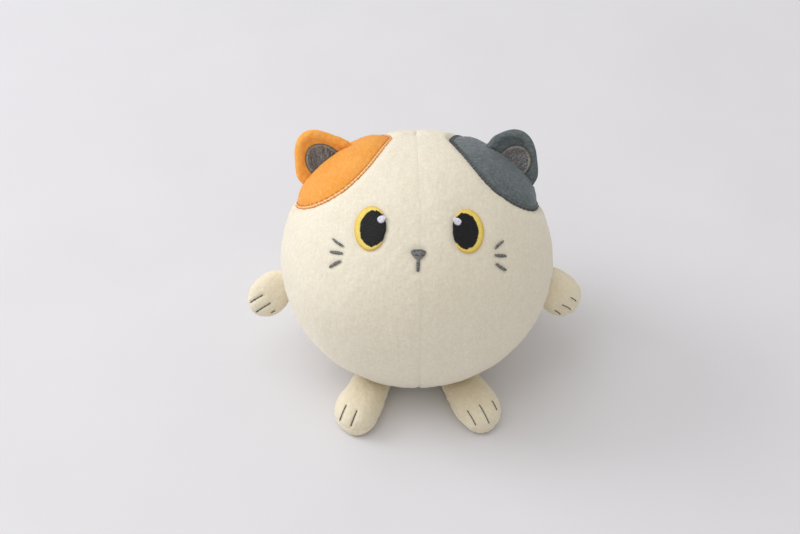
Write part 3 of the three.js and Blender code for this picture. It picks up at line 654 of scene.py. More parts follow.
NOSE = [(-0.5, 2.95), (-1.6, 2.9), (-2.6, 2.7), (-3.15, 2.25), (-3.05, 1.7), (-2.55, 0.95), (-1.9, 0.2), (-1.25, -0.45), (-0.5, -0.75), (0.2, -0.45), (0.95, 0.2), (1.7, 0.95), (2.1, 1.7), (2.1, 2.3), (1.5, 2.7), (0.5, 2.9)]
nose = resample(np.concatenate([catmull(NOSE, 64, closed=True)]), n=60)
t = Threads()
seg = fill_rows(nose, math.radians(0), 0.33, 20, jitter=0.05, seed=8)
stitches(seg, surf, 0.18, 0.14, 0.3, 0.28, t, m=10, bulge=0.34, taper=0.7, seed=5)
star_pad(t, nose.mean(0) + (nose - nose.mean(0)) * 0.9, surf, -0.5, 0.2, rings=4, dome=0.15)
o = t.build("nose_satin")
finish_piece(o, GREY_THREAD, "grey_thread", "body", "nose")
foot(surf, nose)
t = Threads()
line = np.array([[-0.5, -0.6], [-0.5, -2.2], [-0.56, -3.3], [-0.6, -4.4]])
seg = across(catmull(line, 30), [1.0, 1.15, 1.15, 1.1, 0.95], 0.33, 0.25, seed=2)
stitches(seg, surf, 0.18, 0.13, 0.2, 0.22, t, m=6, bulge=0.12, taper=0.75, seed=6)
o = t.build("mouth_line_satin")
finish_piece(o, GREY_THREAD, "grey_thread", "body", "mouth_line")
footprints.append(surf(catmull(line, 14))[0])

WHISKERS = {
    "left": [[1.84, 2.3, -3.14, 4.16], [2.02, -0.04, -2.96, -0.45], [1.93, -2.91, -2.19, -5.47]],
    "right": [[-3.16, 2.62, 1.09, 4.62], [-3.57, 0.19, 0.82, -0.4], [-3.68, -2.57, 0.05, -5.26]],
}
for side, sg in SIDE.items():
    surf = face_surf(sg * 37, 13, 1)
    for k, (p0, q0, p1, q1) in enumerate(WHISKERS[side]):
        a, b = np.array([p0, q0]), np.array([p1, q1])
        mid = (a + b) / 2 + 0.12 * np.array([-(b - a)[1], (b - a)[0]]) / 4 * (1 if k == 0 else -1 if k == 2 else 0)
        path = catmull([a, mid, b], 24)
        t = Threads()
        seg = across(path, [0.5, 0.8, 0.86, 0.82, 0.55] if k == 0 else [0.7, 1.05, 1.15, 1.05, 0.75], 0.34, 0.75 * (-1) ** k, seed=k + 3)
        stitches(seg, surf, 0.16, 0.13, 0.2, 0.2, t, m=6, bulge=0.12, taper=0.75, seed=9 + k)
        o = t.build(f"whisker_{side}_{k + 1}_satin")
        finish_piece(o, GREY_THREAD, "grey_thread", "body", f"whisker_{side}_{k + 1}")
        footprints.append(surf(path[::2])[0])

# ---------------------------------------------------------------- colour patches
PATCH_LAT = {"left": 38.5, "right": 40.3}
EAR_LAT = {"left": 42.6, "right": 44.5}
RHO = 26.2
# the outline's radius in degrees: the angle where it is widest, then the radius at the crown end, the widest
# and the lower end, and how much the crown end is drawn out to a point
PATCH_EDGE = {"left": (93, 26.0, 31.4, 26.0, 1.4), "right": (101, 23.9, 31.5, 25.5, 0.9)}


def patch_rho(side, psi):
    """Radius in degrees; psi in radians, 0 at the crown end, 90 degrees at the front. Pointed at both ends."""
    peak, crown, wide, low, tip = PATCH_EDGE[side]
    deg = np.abs(np.degrees(psi))
    up = crown + (wide - crown) * np.cos(np.radians(90 * np.clip((peak - deg) / peak, 0, 1))) ** 4
    down = low + (wide - low) * np.cos(np.radians(90 * np.clip((deg - peak) / (180 - peak), 0, 1))) ** 2
    rho = np.where(deg < peak, up, down)
    rho = np.where(psi < 0, rho - 0.4 * (rho - np.minimum(crown, low)), rho)
    return rho + tip * np.exp(-deg / 13) + 1.2 * np.exp(-(180 - deg) / 13)


def patch_axes(side):
    lat, s = math.radians(PATCH_LAT[side]), SIDE[side]
    c = toy(s * math.sin(lat), 0, math.cos(lat))
    t = toy(-s * math.cos(lat), 0, math.sin(lat))
    return c, t


def patch_dir(side, rho, psi):
    c, t = patch_axes(side)
    r = np.radians(rho)
    return (
        np.cos(r)[..., None] * c
        + (np.sin(r) * np.cos(psi))[..., None] * t
        + (np.sin(r) * np.sin(psi))[..., None] * FWD
    )


def patch_coords(side, d):
    """(distance in from the sewn edge, distance out from the ear's fold, along the ear, angle), mm."""
    c, t = patch_axes(side)
    a, b, f = d @ c, d @ t, d @ FWD
    rho = np.degrees(np.arctan2(np.hypot(b, f), a))
    psi = np.arctan2(f, b)
    edge = (patch_rho(side, psi) - rho) * PER_DEG
    along = -np.degrees(np.arctan2(b, a)) * PER_DEG - (EAR_LAT[side] - PATCH_LAT[side]) * PER_DEG
    return edge, np.abs(f) * BR, along, psi


def ear_slot(along, back=False):
    """Half the width of the gap that the ear stands in."""
    width = 1.55 - 1.0 * (along / 12) ** 2 if back else 1.9
    return 0.03 + width * smooth((13.0 - np.abs(along)) / 2.6)


STITCH = 1.12  # the topstitch's distance from the patch's edge


def sewn_in(edge, psi):
    """How far the patch's seam draws the plush in, at a distance in from (or, below 0, out from) the edge."""
    deep = 0.62 + 0.75 * np.abs(np.cos(psi)) ** 5
    width = np.where(edge >= 0, 3.8, 2.0)
    return -deep * np.exp(-((edge / width) ** 2))


def patch_height(side, d, back):
    edge, f, along, psi = patch_coords(side, d)
    g = f - ear_slot(along, back)
    open_ = smooth((13.0 - np.abs(along)) / 2.6)
    rim = np.clip(edge / 0.42, 0, 1)
    thin = 0.62 - 0.3 * np.abs(np.cos(psi)) ** 6
    h = thin * np.sqrt(np.maximum(0, 1 - (1 - rim) ** 2)) + sewn_in(edge, psi)
    h = h + 0.45 * smooth((edge - 1.3) / 4.0)
    arc = psi * np.sin(np.radians(RHO)) * BR
    tug = 0.5 + 0.5 * np.cos(2 * np.pi * arc / 2.35)
    h = h - (0.2 + 0.12 * tug) * np.exp(-(((edge - STITCH) / 0.28) ** 2))
    h = h - 0.1 * tug * np.exp(-(((edge - STITCH) / 0.9) ** 2))
    brow = (0.5 if back else 1.35) * np.exp(-np.maximum(g, 0) / 4.5) * smooth((15.5 - np.abs(along)) / 7.0) * smooth(edge / 3.0)
    h = h + brow
    r = 0.4 + (0.6 if back else 1.2) * open_
    x = np.clip((r - g) / r, 0, 1)
    drop = 0.12 + (h + (0.7 if back else 1.1) - 0.12) * open_
    h = h - drop * (1 - np.sqrt(np.maximum(0, 1 - x * x)))
    return h, edge


def patch_mesh(side, back):
    s = -1 if back else 1
    nu, na, nb = 150, 18, 26
    psi = s * (1e-4 + (math.pi - 2e-4) * np.linspace(0, 1, nu))
    arc = patch_dir(side, patch_rho(side, psi), psi)
    # the straight edge: from seam to seam in front of or behind the ear
    c, t = patch_axes(side)
    r0, r1 = np.radians(patch_rho(side, np.array([1e-4 * s, (math.pi - 1e-4) * s])))
    ang = (r0 + r1) / 2 * np.cos(psi) + (r0 - r1) / 2
    line = np.cos(ang)[:, None] * c + np.sin(ang)[:, None] * t
    along = -np.degrees(ang) * PER_DEG - (EAR_LAT[side] - PATCH_LAT[side]) * PER_DEG
    line = unit(line + FWD * (s * (ear_slot(along, back) - 0.025) / BR)[:, None])
    length = np.arccos(np.clip((arc * line).sum(-1), -1, 1)) * BR
    e = np.array([0, 0.02, 0.05, 0.1, 0.17, 0.25, 0.34, 0.46, 0.6, 0.74, 0.87, 0.98, 1.08, 1.18, 1.3, 1.45, 1.7, 2.1])
    rows = []
    for j in range(na):
        rows.append(e[j] * np.minimum(1, length / 4.5))
    last = rows[-1]
    for j in range(1, nb + 1):
        k = j / nb
        k = k * 0.55 + 0.45 * math.sin(k * math.pi / 2)
        rows.append(last + (length - last) * k)
    dist = np.stack(rows, axis=1)
    k = (dist / np.maximum(length, 1e-6)[:, None])[..., None]
    d = unit(arc[:, None] * (1 - k) + line[:, None] * k)
    h, edge = patch_height(side, d, back)
    top, n = on_ball(d, 0)
    h = h + lump(top) * 0.8 + pile(top, 0.9) * smooth(edge / 2)
    high = top + n * h[..., None]
    low = on_ball(d, np.full(d.shape[:2], -2.6))[0]
    v, f = closed_slab(low, high)
    # mask of the turned edge, painted lighter on the orange as a painted highlight
    rim = smooth((edge + 0.02) / 0.15) * (1 - smooth((edge - 0.42) / 0.3))
    # painted shade in the topstitch groove
    dent = np.exp(-(((edge - STITCH) / 0.3) ** 2))
    pad = np.zeros(edge.size)
    return v, f, np.concatenate([rim.ravel(), pad]), np.concatenate([dent.ravel(), pad])


for side, sg in SIDE.items():
    word, mat = ("orange", ORANGE) if side == "left" else ("grey", GREY)
    for back in (False, True):
        v, f, rim, dent = patch_mesh(side, back)
        name = f"{word}_patch_{'back' if back else 'front'}"
        o = new_mesh(name + "_plush", v, f, {"rim": rim, "dent": dent}, crisp=60)
        finish_piece(o, mat, f"{word}_plush", "body", name)
    # topstitch in the groove, and small whip stitches over the turned edge
    t = Threads()
    N = 2400
    psi = np.linspace(0, 2 * np.pi, N, endpoint=False)
    psi = np.where(psi > np.pi, psi - 2 * np.pi, psi)
    psi = psi[np.argsort(psi)]
    d = patch_dir(side, patch_rho(side, psi) - STITCH / PER_DEG, psi)
    p, n = on_ball(d)
    p = p + n * (lump(p) * 0.8 + sewn_in(STITCH, psi))[..., None]
    s = np.concatenate([[0], np.cumsum(np.linalg.norm(np.diff(p, axis=0), axis=1))])
    total = s[-1]
    count = int(round(total / 2.35))
    step = total / count
    x = np.linspace(0, 1, 8)
    at = (np.arange(count) * step)[:, None] + (0.12 + 0.76 * x)[None] * step
    pos = np.stack([np.interp(at, s, p[:, k]) for k in range(3)], axis=-1)
    nrm = unit(np.stack([np.interp(at, s, n[:, k]) for k in range(3)], axis=-1))
    arch = 1 - np.abs(2 * x - 1) ** 3
    lift = (0.14 + 0.12 * arch) if side == "right" else (0.3 + 0.2 * arch)
    pos = pos + nrm * lift[None, :, None]
    t.add(pos, nrm, 0.16, 0.13, taper=0.6, seed=21)
    pitch = 1.2 if side == "right" else 1.45
    count = int(round(total / pitch))
    at = (np.arange(count) + 0.5) * total / count
    ang = np.interp(at, s, psi)
    x = np.linspace(0, 1, 7)
    grey = side == "right"
    edge = (-0.5 + 1.05 * x) if grey else (-0.2 + 0.62 * x)
    slant = (0.5 if grey else 0.25) * (x - 0.5)
    pp = ang[:, None] + (slant / (math.sin(math.radians(RHO)) * BR))[None]
    dd = patch_dir(side, patch_rho(side, pp) - edge[None] / PER_DEG, pp)
    pos, nrm = on_ball(dd)
    rise = np.interp(edge, [-0.5, -0.12, 0.02, 0.2, 0.5, 0.85], [-0.12, 0.1, 0.42, 0.66, 0.68, 0.5])
    pos = pos + nrm * (rise[None] + lump(pos) * 0.8 + sewn_in(edge[None], pp))[..., None]
    t.add(pos, nrm, 0.21 if grey else 0.09, 0.13 if grey else 0.07, taper=0.7, seed=22)
    o = t.build(f"{word}_patch_topstitch_thread")
    thread_mat, slot = (ORANGE_THREAD, "orange_thread") if side == "left" else (DARK_THREAD, "dark_thread")
    finish_piece(o, thread_mat, slot, "body", f"{word}_patch_topstitch")

# ---------------------------------------------------------------- body panels
def octant(sx, sf, su, n):
    """Directions over an eighth of the ball, [vertex, 3] in toy coordinates, and triangles."""
    index, dirs = {}, []
    for i in range(n + 1):
        for j in range(n + 1 - i):
            k = n - i - j
            a = np.array([math.sin(math.pi / 2 * i / n), math.sin(math.pi / 2 * j / n), math.sin(math.pi / 2 * k / n)])
            index[(i, j)] = len(dirs)
            dirs.append(a)
    tris = []
    for i in range(n):
        for j in range(n - i):
            tris.append((index[(i, j)], index[(i + 1, j)], index[(i, j + 1)]))
            if j < n - i - 1:
                tris.append((index[(i + 1, j)], index[(i + 1, j + 1)], index[(i, j + 1)]))
    d = unit(np.array(dirs)) * np.array([sx, sf, su])
    return d, np.array(tris)


def quarter(sx, sf, n):
    """The quarter of the ball with that side and face: directions, triangles, and the loop round it."""
    (d1, t1), (d2, t2) = octant(sx, sf, 1, n), octant(sx, sf, -1, n)
    d = np.concatenate([d1, d2])
    tr = np.concatenate([t1, t2 + len(d1)])
    key = {}
    remap = np.zeros(len(d), int)
    keep = []
    for i, k in enumerate(map(tuple, np.round(d, 7) + 0.0)):
        if k not in key:
            key[k] = len(keep)
            keep.append(i)
        remap[i] = key[k]
    d = d[keep]
    tr = remap[tr]
    # the loop: along x = 0 from crown to base through the front or back, then back up along f = 0
    on_x = np.where(np.abs(d[:, 0]) < 1e-9)[0]
    on_f = np.where(np.abs(d[:, 1]) < 1e-9)[0]
    on_x = on_x[np.argsort(-d[on_x, 2])]
    on_f = on_f[np.argsort(d[on_f, 2])]
    loop = list(on_x) + [i for i in on_f if i not in (on_x[0], on_x[-1])]
    return d, tr, loop


kd = KDTree(sum(len(a) for a in footprints))
i = 0
for a in footprints:
    for p in a:
        kd.insert(p, i)
        i += 1
kd.balance()


def body_surface(dt):
    """Outer surface of the body in toy directions dt, with its seams, dents and pile: points, and a mask of painted
    shade along the seams and round the embroidery.
    """
    d = toy(dt[:, 0], dt[:, 1], dt[:, 2])
    p, n = on_ball(d)
    gx, gf = np.abs(dt[:, 0]) * BR, np.abs(dt[:, 1]) * BR
    h = lump(p)
    tuck = 1 + 0.35 * noise(p, 3.2, 21)
    # seams: the panels' edges turn in, with a shallow valley and small gathers beside them
    front = dt[:, 1] > 0
    dx = np.where(front, 0.5, 0.6)
    near = smooth((-dt[:, 2] - 0.25) / 0.5) + 0.3 * smooth((dt[:, 2] - 0.55) / 0.4)
    centre = np.where(front, 0.015 + 0.4 * near, 0.6)
    h = h - centre * np.exp(-((gx / 0.6) ** 1.4)) * tuck - 0.3 * centre * np.exp(-((gx / 3.2) ** 2))
    h = h - 0.75 * np.exp(-((gf / 0.6) ** 1.3)) * tuck - 0.22 * np.exp(-((gf / 3.5) ** 2))
    arc_x = np.arctan2(dt[:, 1], dt[:, 2]) * BR
    arc_f = np.arctan2(dt[:, 0], dt[:, 2]) * BR
    q = np.stack([arc_x, gx * 0.45, np.zeros_like(gx)], axis=-1)
    h = h + 0.16 * (0.25 + near) * noise(q, 2.6, 31) * np.exp(-((gx - 1.5) / 2.6) ** 2)
    q = np.stack([arc_f, gf * 0.4, np.zeros_like(gf)], axis=-1)
    h = h + 0.2 * noise(q, 2.8, 32) * np.exp(-((gf - 1.5) / 3.0) ** 2)
    # the bottom pole, where the four panels meet
    pole = np.hypot(gx, gf)
    h = h - 0.5 * np.exp(-((pole / 2.2) ** 2))
    # thread pulls the plush down round the embroidery
    dent = np.zeros(len(p))
    look = np.where((dt[:, 1] > 0.3) & (dt[:, 2] > -0.35))[0]
    for k in look:
        dent[k] = kd.find(p[k] + n[k] * 0)[2]
    mask = np.zeros(len(p), bool)
    mask[look] = True
    pull = np.where(mask, np.exp(-(np.maximum(dent - 0.45, 0) / 0.75) ** 2), 0)
    h = h - 0.3 * pull
    # under a patch the panel lies lower
    under = np.zeros(len(p))
    for side in SIDE:
        edge, f, along, psi = patch_coords(side, d)
        under = np.maximum(under, smooth((edge + 0.1) / 0.5))
        # the sewn edge of the patch draws the panel in a little
        h = h + np.where(edge > -8, sewn_in(np.maximum(edge, -8), psi), 0)
    h = h - 0.55 * under
    h = h + pile(p, 1.0) * (1 - pull) * (1 - 0.6 * np.exp(-((np.minimum(gx, gf) / 0.6) ** 2)))
    p = p + n * h[:, None]
    z = p[:, 2]
    p[:, 2] = np.where(z < 3, 0.5 * (z + np.sqrt(z * z + 0.7)), z)
    # the second value is painted shade, darker along the seams and round the embroidery
    return p, np.clip(pull * 0.5 + np.where(front, 0.2 * near, 0.4) * np.exp(-((gx / 0.5) ** 2)) + 0.35 * np.exp(-((gf / 0.6) ** 2)), 0, 1)


NB = 112
NI = 16
for face_word, sf in (("front", 1), ("back", -1)):
    for side, sx in SIDE.items():
        d, tr, loop = quarter(sx, sf, NB)
        p, dent = body_surface(d)
        # a hair's breadth between neighbours
        gap = np.exp(-((np.abs(d[:, 0]) * BR / 0.3) ** 2))[:, None] * 0.003 * sx * X
        gap = gap + np.exp(-((np.abs(d[:, 1]) * BR / 0.3) ** 2))[:, None] * 0.008 * sf * FWD
        p = p + gap
        di, ti, li = quarter(sx, sf, NI)
        dd = toy(di[:, 0], di[:, 1], di[:, 2])
        q, nn = on_ball(dd, -3.6)
        q = q + (np.abs(di[:, :1]) * BR < 0.3) * 0.12 * sx * X + (np.abs(di[:, 1:2]) * BR < 0.3) * 0.12 * sf * FWD
        q[:, 2] = np.maximum(q[:, 2], 1.6)
        v = np.concatenate([p, q])
        f = [tuple(t) for t in tr] + [tuple(x + len(p) for x in t[::-1]) for t in ti]
        per = NB // NI
        for a in range(len(li)):
            b = (a + 1) % len(li)
            ia, ib = len(p) + li[a], len(p) + li[b]
            fine = [loop[(a * per + k) % len(loop)] for k in range(per + 1)]
            for k in range(per):
                f.append((fine[k], fine[k + 1], ia if k < per // 2 else ib))
            f.append((fine[per // 2], ib, ia))
        o = new_mesh(f"body_{face_word}_{side}_plush", v, f, {"dent": np.concatenate([dent, np.zeros(len(q))])}, crisp=50)
        finish_piece(o, CREAM, "cream_plush", "body", f"body_panel_{face_word}_{side}")

# ---------------------------------------------------------------- ears
EAR_OUTLINE = {
    "left": [[11.2, 1.0], [10.2, 3.2], [8.7, 5.6], [6.7, 8.0], [4.1, 10.9], [1.0, 12.8], [-2.0, 13.0], [-4.8, 11.3], [-6.8, 8.4], [-8.5, 5.0], [-10.2, 2.5], [-11.5, 1.0]],
    "right": [[11.1, 1.0], [9.8, 3.0], [7.9, 5.2], [5.4, 7.3], [2.2, 9.7], [-1.2, 11.2], [-4.5, 11.3], [-7.2, 9.9], [-9.0, 7.4], [-10.2, 4.5], [-11.0, 2.4], [-11.3, 1.0]],
}
INNER_OUTLINE = {
    "left": [[5.6, 0.9], [5.5, 2.9], [4.9, 4.9], [3.7, 6.6], [2.0, 7.9], [0.1, 8.3], [-1.9, 7.8], [-3.5, 6.6], [-4.7, 4.9], [-5.4, 2.9], [-5.8, 0.9]],
    "right": [[5.6, 0.9], [5.5, 3.0], [4.9, 5.1], [3.6, 6.7], [2.0, 7.7], [0.1, 8.1], [-1.7, 7.7], [-3.2, 6.7], [-4.3, 5.2], [-4.9, 3.2], [-5.1, 0.9]],
}


def bend_ear(o):
    """Bakes the ear piece's placement into its mesh."""
    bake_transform(o)


def ear_maker(side):
    lat, s = math.radians(EAR_LAT[side]), SIDE[side]
    rd = toy(s * math.sin(lat), 0, math.cos(lat))
    tg = toy(s * math.cos(lat), 0, -math.sin(lat))
    r = float(surf_r(rd))
    out = catmull(EAR_OUTLINE[side], 133)
    # the pile stands a little out from the cloth
    t_ = unit(np.gradient(out, axis=0))
    grow = 1.15 * smooth(out[:, 1] / 4.0)[:, None] * np.stack([t_[:, 1], -t_[:, 0]], axis=1)
    out = out + (grow if grow[len(out) // 2, 1] > 0 else -grow)
    edge_line = np.concatenate([[[out[0][0] + 0.1, -3.5]], out, [[out[-1][0] - 0.1, -3.5]]])

    def point(t, h, f):
        curl = 1.1 * (t / 12) ** 2 + 0.5 * smooth((h - 5) / 8)
        return C0 + (r + h)[..., None] * rd + t[..., None] * tg + (f + curl)[..., None] * FWD

    inner = catmull(INNER_OUTLINE[side], 60)

    def thick(t, h, front):
        p2 = np.stack([t, h], axis=-1)
        e = to_polyline(p2, edge_line)
        x = np.clip(e / 2.3, 0, 1)
        puff = np.sqrt(np.maximum(0, 1 - (1 - x) ** 2))
        if front:
            ei = to_polyline(p2, inner)
            mid = np.array([inner[:, 0].mean(), 3.0])
            inside = smooth((e - 2.4) / 1.6)
            th = 0.14 + 1.75 * puff - 0.62 * inside
            th = th - 0.3 * np.exp(-((ei / 0.7) ** 2)) * (h > 0)
        else:
            th = 0.14 + 2.0 * puff
        base = smooth((1.5 - h) / 4.0)
        return th * (1 - 0.45 * base), e

    return point, thick, out, inner, rd, tg, r


for side, sg in SIDE.items():
    # the orange ear takes the orange plush painted lighter, painted light; the grey ear keeps the patch's grey plush
    word, mat = ("orange", ORANGE_EAR_PAINTED_LIGHTER) if side == "left" else ("grey", GREY)
    point, thick, out, inner, rd, tg, r = ear_maker(side)
    n = len(out)
    NV = 44
    k = np.linspace(0, 1, NV)
    k = 1 - (1 - k) ** 1.9
    t0 = out[0][0] + (out[-1][0] - out[0][0]) * np.linspace(0, 1, n)
    sink = BR - np.sqrt(BR * BR - t0 * t0)
    h0 = -1.7 - sink
    t = t0[:, None] * (1 - k) + out[:, :1] * k
    h = h0[:, None] * (1 - k) + out[:, 1:] * k
    for front in (True, False):
        th, e = thick(t, h, front)
        q = point(t, h, np.zeros_like(t))
        sgn = 1 if front else -1
        fluff = pile(q, 1.3) * smooth(e / 1.2)
        # gathers round the sewn edge
        arc = np.arctan2(h - 2, t) * 11
        gather = 0.1 * noise(np.stack([arc, e * 0.4, np.full_like(e, sgn)], axis=-1), 1.9, 40) * np.exp(-((e - 0.8) / 1.2) ** 2)
        off = th + fluff + gather + 0.12 * noise(q, 5, 41)
        if side == "right" and front:
            off = off - 0.75 * np.exp(-(((t + 3.2) / 1.5) ** 2 + ((h - 8.6) / 1.2) ** 2))
        high = point(t, h, sgn * np.maximum(off, 0.1))
        low = point(t, h, sgn * np.full_like(t, 0.03))
        v, f = closed_slab(low, high)
        # painted shade along the ear's sewn edge and, on the front, round the inner ear
        dent = np.exp(-((e / 0.5) ** 2))
        if front:
            ei = to_polyline(np.stack([t, h], axis=-1), inner)
            dent = np.maximum(dent, np.exp(-((ei / 1.0) ** 2)) * (h > 1))
        o = new_mesh(
            f"ear_{side}_{'front' if front else 'back'}_plush",
            v,
            f,
            {"dent": np.concatenate([dent.ravel() * 0.8, np.zeros(t.size)]), "rim": np.zeros(2 * t.size)},
        )
        finish_piece(o, mat, f"{word}_plush", None, f"ear_{side}_{'front' if front else 'back'}")
        bend_ear(o)

    def surf(p2, point=point, thick=thick):
        t_, h_ = p2[..., 0], p2[..., 1]
        th, e = thick(t_, h_, True)
        d = 0.05
        pos = point(t_, h_, th)
        a = point(t_ + d, h_, thick(t_ + d, h_, True)[0]) - pos
        b = point(t_, h_ + d, thick(t_, h_ + d, True)[0]) - pos
        nn = unit(np.cross(a, b))
        nn = np.where((nn @ FWD)[..., None] < 0, -nn, nn)
        return pos, nn

    t = Threads()
    poly = np.concatenate([inner])
    seg = fill_rows(poly, math.radians(62 * sg + 4), 0.4, 2.6, jitter=0.05, seed=12)
    stitches(seg, surf, 0.19, 0.12, 0.3, 0.14, t, m=6, bulge=0.03, taper=0.7, seed=31)
    mid = poly.mean(0)
    star_pad(t, mid + (poly - mid) * 0.97, surf, -0.3, 0.24, rings=6)
    o = t.build(f"ear_{side}_inner_fill")
    finish_piece(o, INNER, "inner_ear_fabric", None, f"ear_{side}_inner")
    bend_ear(o)
    t = Threads()
    ring = resample(inner, step=0.2)
    seg = across(ring, 1.2, 0.29, 0.15, seed=5)
    stitches(seg, surf, 0.165, 0.14, 0.42, 0.25, t, m=8, bulge=0.15, taper=0.75, seed=33)
    o = t.build(f"ear_{side}_inner_border_satin")
    finish_piece(o, BORDER, "grey_thread", None, f"ear_{side}_inner_border")
    bend_ear(o)

# ---------------------------------------------------------------- arms and legs
def limb_frame(kind, side):
    sg = SIDE[side]
    if kind == "arm":
        lat, drop = math.radians(-12.5), math.radians({"left": 28, "right": 38}[side])
        p, _ = on_ball(toy(sg * math.cos(lat), 0, math.sin(lat)), 1.5)
        return (
            p,
            toy(sg * math.cos(drop), 0, -math.sin(drop)),
            toy(sg * math.sin(drop), 0, math.cos(drop)),
            FWD.copy(),
        )
    d = unit(np.array([sg * 0.3025, -0.953, 0]))
    w = unit(np.array([sg * 0.953, 0.3025, 0]))
    return np.array([sg * 16.2, -24.43, 4.0]), d, w, np.array([0, 0, 1.0])


# [along, edge on the +across side, edge on the other side, height over the seam, depth under it]
SHAPE = {
    "arm_left": [
        [-5.0, 4.4, -3.6, 2.3, 2.3], [-3.6, 5.8, -4.5, 2.8, 2.8], [-1.8, 6.9, -5.0, 3.3, 3.3], [0.0, 7.7, -5.7, 3.7, 3.7], [1.5, 8.0, -6.5, 4.1, 4.1],
        [3.5, 7.9, -7.3, 4.6, 4.6], [5.5, 7.6, -7.6, 4.8, 4.8], [7.5, 7.1, -7.5, 4.8, 4.8], [9.5, 6.2, -7.0, 4.5, 4.5], [11.3, 4.8, -6.0, 3.9, 3.9],
        [12.6, 3.1, -4.8, 3.0, 3.0], [13.4, 1.3, -3.5, 1.9, 1.9], [13.7, -0.1, -2.4, 0.9, 0.9], [13.75, -0.9, -1.6, 0.1, 0.1],
    ],
    "arm_right": [
        [-5.0, 4.3, -3.8, 2.3, 2.3], [-3.6, 5.5, -4.8, 2.8, 2.8], [-1.8, 6.2, -5.6, 3.3, 3.3], [0.0, 6.5, -6.7, 3.7, 3.7], [1.5, 6.7, -7.6, 4.1, 4.1],
        [3.5, 6.7, -8.2, 4.5, 4.5], [5.5, 6.5, -8.3, 4.7, 4.7], [7.5, 5.9, -7.9, 4.7, 4.7], [9.4, 4.8, -7.1, 4.3, 4.3], [10.8, 3.3, -6.0, 3.6, 3.6],
        [11.7, 1.7, -4.7, 2.7, 2.7], [12.2, 0.0, -3.5, 1.6, 1.6], [12.4, -1.0, -2.7, 0.7, 0.7], [12.45, -1.6, -2.1, 0.1, 0.1],
    ],
    "leg_left": [
        [-3.6, 5.4, -5.0, 1.0, 1.6], [-2.6, 6.6, -5.8, 1.4, 2.0], [-1.2, 7.6, -6.5, 1.9, 2.4], [0.5, 8.2, -6.8, 2.4, 2.9], [2.5, 8.4, -6.9, 3.0, 3.4],
        [5.0, 8.5, -6.9, 3.8, 4.2], [8.5, 9.0, -7.1, 4.9, 4.6], [12.0, 9.8, -7.3, 5.8, 4.8], [15.0, 10.0, -7.3, 6.3, 4.8], [18.0, 9.7, -7.2, 6.4, 4.8],
        [20.9, 8.8, -6.8, 6.1, 4.8], [23.2, 7.3, -5.9, 5.3, 4.7], [24.8, 5.4, -4.6, 4.3, 4.2], [25.9, 3.2, -3.0, 3.0, 3.2], [26.4, 1.3, -1.5, 1.7, 1.9], [26.6, 0.1, -0.4, 0.2, 0.2],
    ],
    "leg_right": [
        [-3.6, 5.0, -5.4, 1.0, 1.6], [-2.6, 5.8, -6.3, 1.4, 2.0], [-1.2, 6.6, -7.3, 1.9, 2.4], [0.5, 7.1, -7.8, 2.4, 2.9], [2.5, 7.5, -8.0, 3.0, 3.4],
        [5.0, 7.9, -8.0, 3.8, 4.2], [8.5, 8.6, -8.1, 4.9, 4.6], [12.0, 9.1, -8.2, 5.8, 4.8], [15.0, 9.1, -8.1, 6.3, 4.8], [18.0, 8.6, -7.7, 6.4, 4.8],
        [20.7, 7.7, -7.0, 6.1, 4.8], [22.9, 6.5, -6.0, 5.3, 4.7], [24.5, 5.0, -4.7, 4.3, 4.2], [25.6, 3.1, -3.1, 3.0, 3.2], [26.1, 1.4, -1.5, 1.7, 1.9], [26.3, 0.3, -0.4, 0.2, 0.2],
    ],
}
# sewn toe lines as [along, across] on a flat level over the seam; they wrap over the toe from there
CLAW_LEVEL = {"arm": 4.6, "leg": 5.5}
CLAWS = {
    "arm_left": [[[12.2, 1.9], [6.5, 2.1]], [[12.2, -2.4], [5.5, -1.9]], [[7.4, -5.3], [5.6, -5.2]]],
    "arm_right": [[[7.1, 1.3], [9.9, 1.5]], [[6.4, -2.8], [10.4, -2.2]], [[5.7, -6.0], [8.5, -5.9]]],
    "leg_left": [[[20.2, 4.3], [29.0, 4.1]], [[21.7, -0.3], [30.4, -0.6]]],
    "leg_right": [[[20.8, -5.4], [29.2, -4.9]], [[19.2, -0.3], [29.9, 0.0]], [[18.9, 4.8], [24.3, 4.9]]],
}
OVER = unit(np.array([0.0, -0.735, 0.678]))  # from above and in front


def limb_mesh(kind, side, rings, around):
    """Ring-stack of a stuffed limb: [ring, point, 3] in limb coordinates (along, across, out)."""
    table = np.array(SHAPE[f"{kind}_{side}"], float)
    key = np.concatenate([[0], np.cumsum(np.hypot(np.diff(table[:, 0]), 0.6 * np.diff(table[:, 1])))])
    fine = catmull(table, 400)
    s = np.concatenate([[0], np.cumsum(np.hypot(np.diff(fine[:, 0]), 0.7 * np.diff(fine[:, 1])))])
    u = np.linspace(0, s[-1], rings)
    st = np.stack([np.interp(u, s, fine[:, k]) for k in range(5)], axis=1)
    a = 2 * np.pi * np.arange(around) / around
    x, y = np.cos(a), np.sin(a)
    mid, half = (st[:, 1] + st[:, 2]) / 2, (st[:, 1] - st[:, 2]) / 2
    lens = np.maximum(0, 1 - np.abs(x) ** 2.5) ** 0.56
    across_ = mid[:, None] + half[:, None] * x
    out = np.where(y >= 0, st[:, 3:4] * lens, -st[:, 4:5] * lens)
    along = np.broadcast_to(st[:, :1], out.shape)
    return np.stack([along, across_, out], axis=-1), y


def limb_place(fr, q):
    p, d, w, t = fr
    return p + q[..., 0:1] * d + q[..., 1:2] * w + q[..., 2:3] * t


def ring_faces(m, k):
    f = []
    for i in range(m - 1):
        for j in range(k):
            n = (j + 1) % k
            f.append((i * k + j, (i + 1) * k + j, (i + 1) * k + n, i * k + n))
    f.append(tuple(range(k)))
    f.append(tuple((m - 1) * k + j for j in reversed(range(k))))
    return f


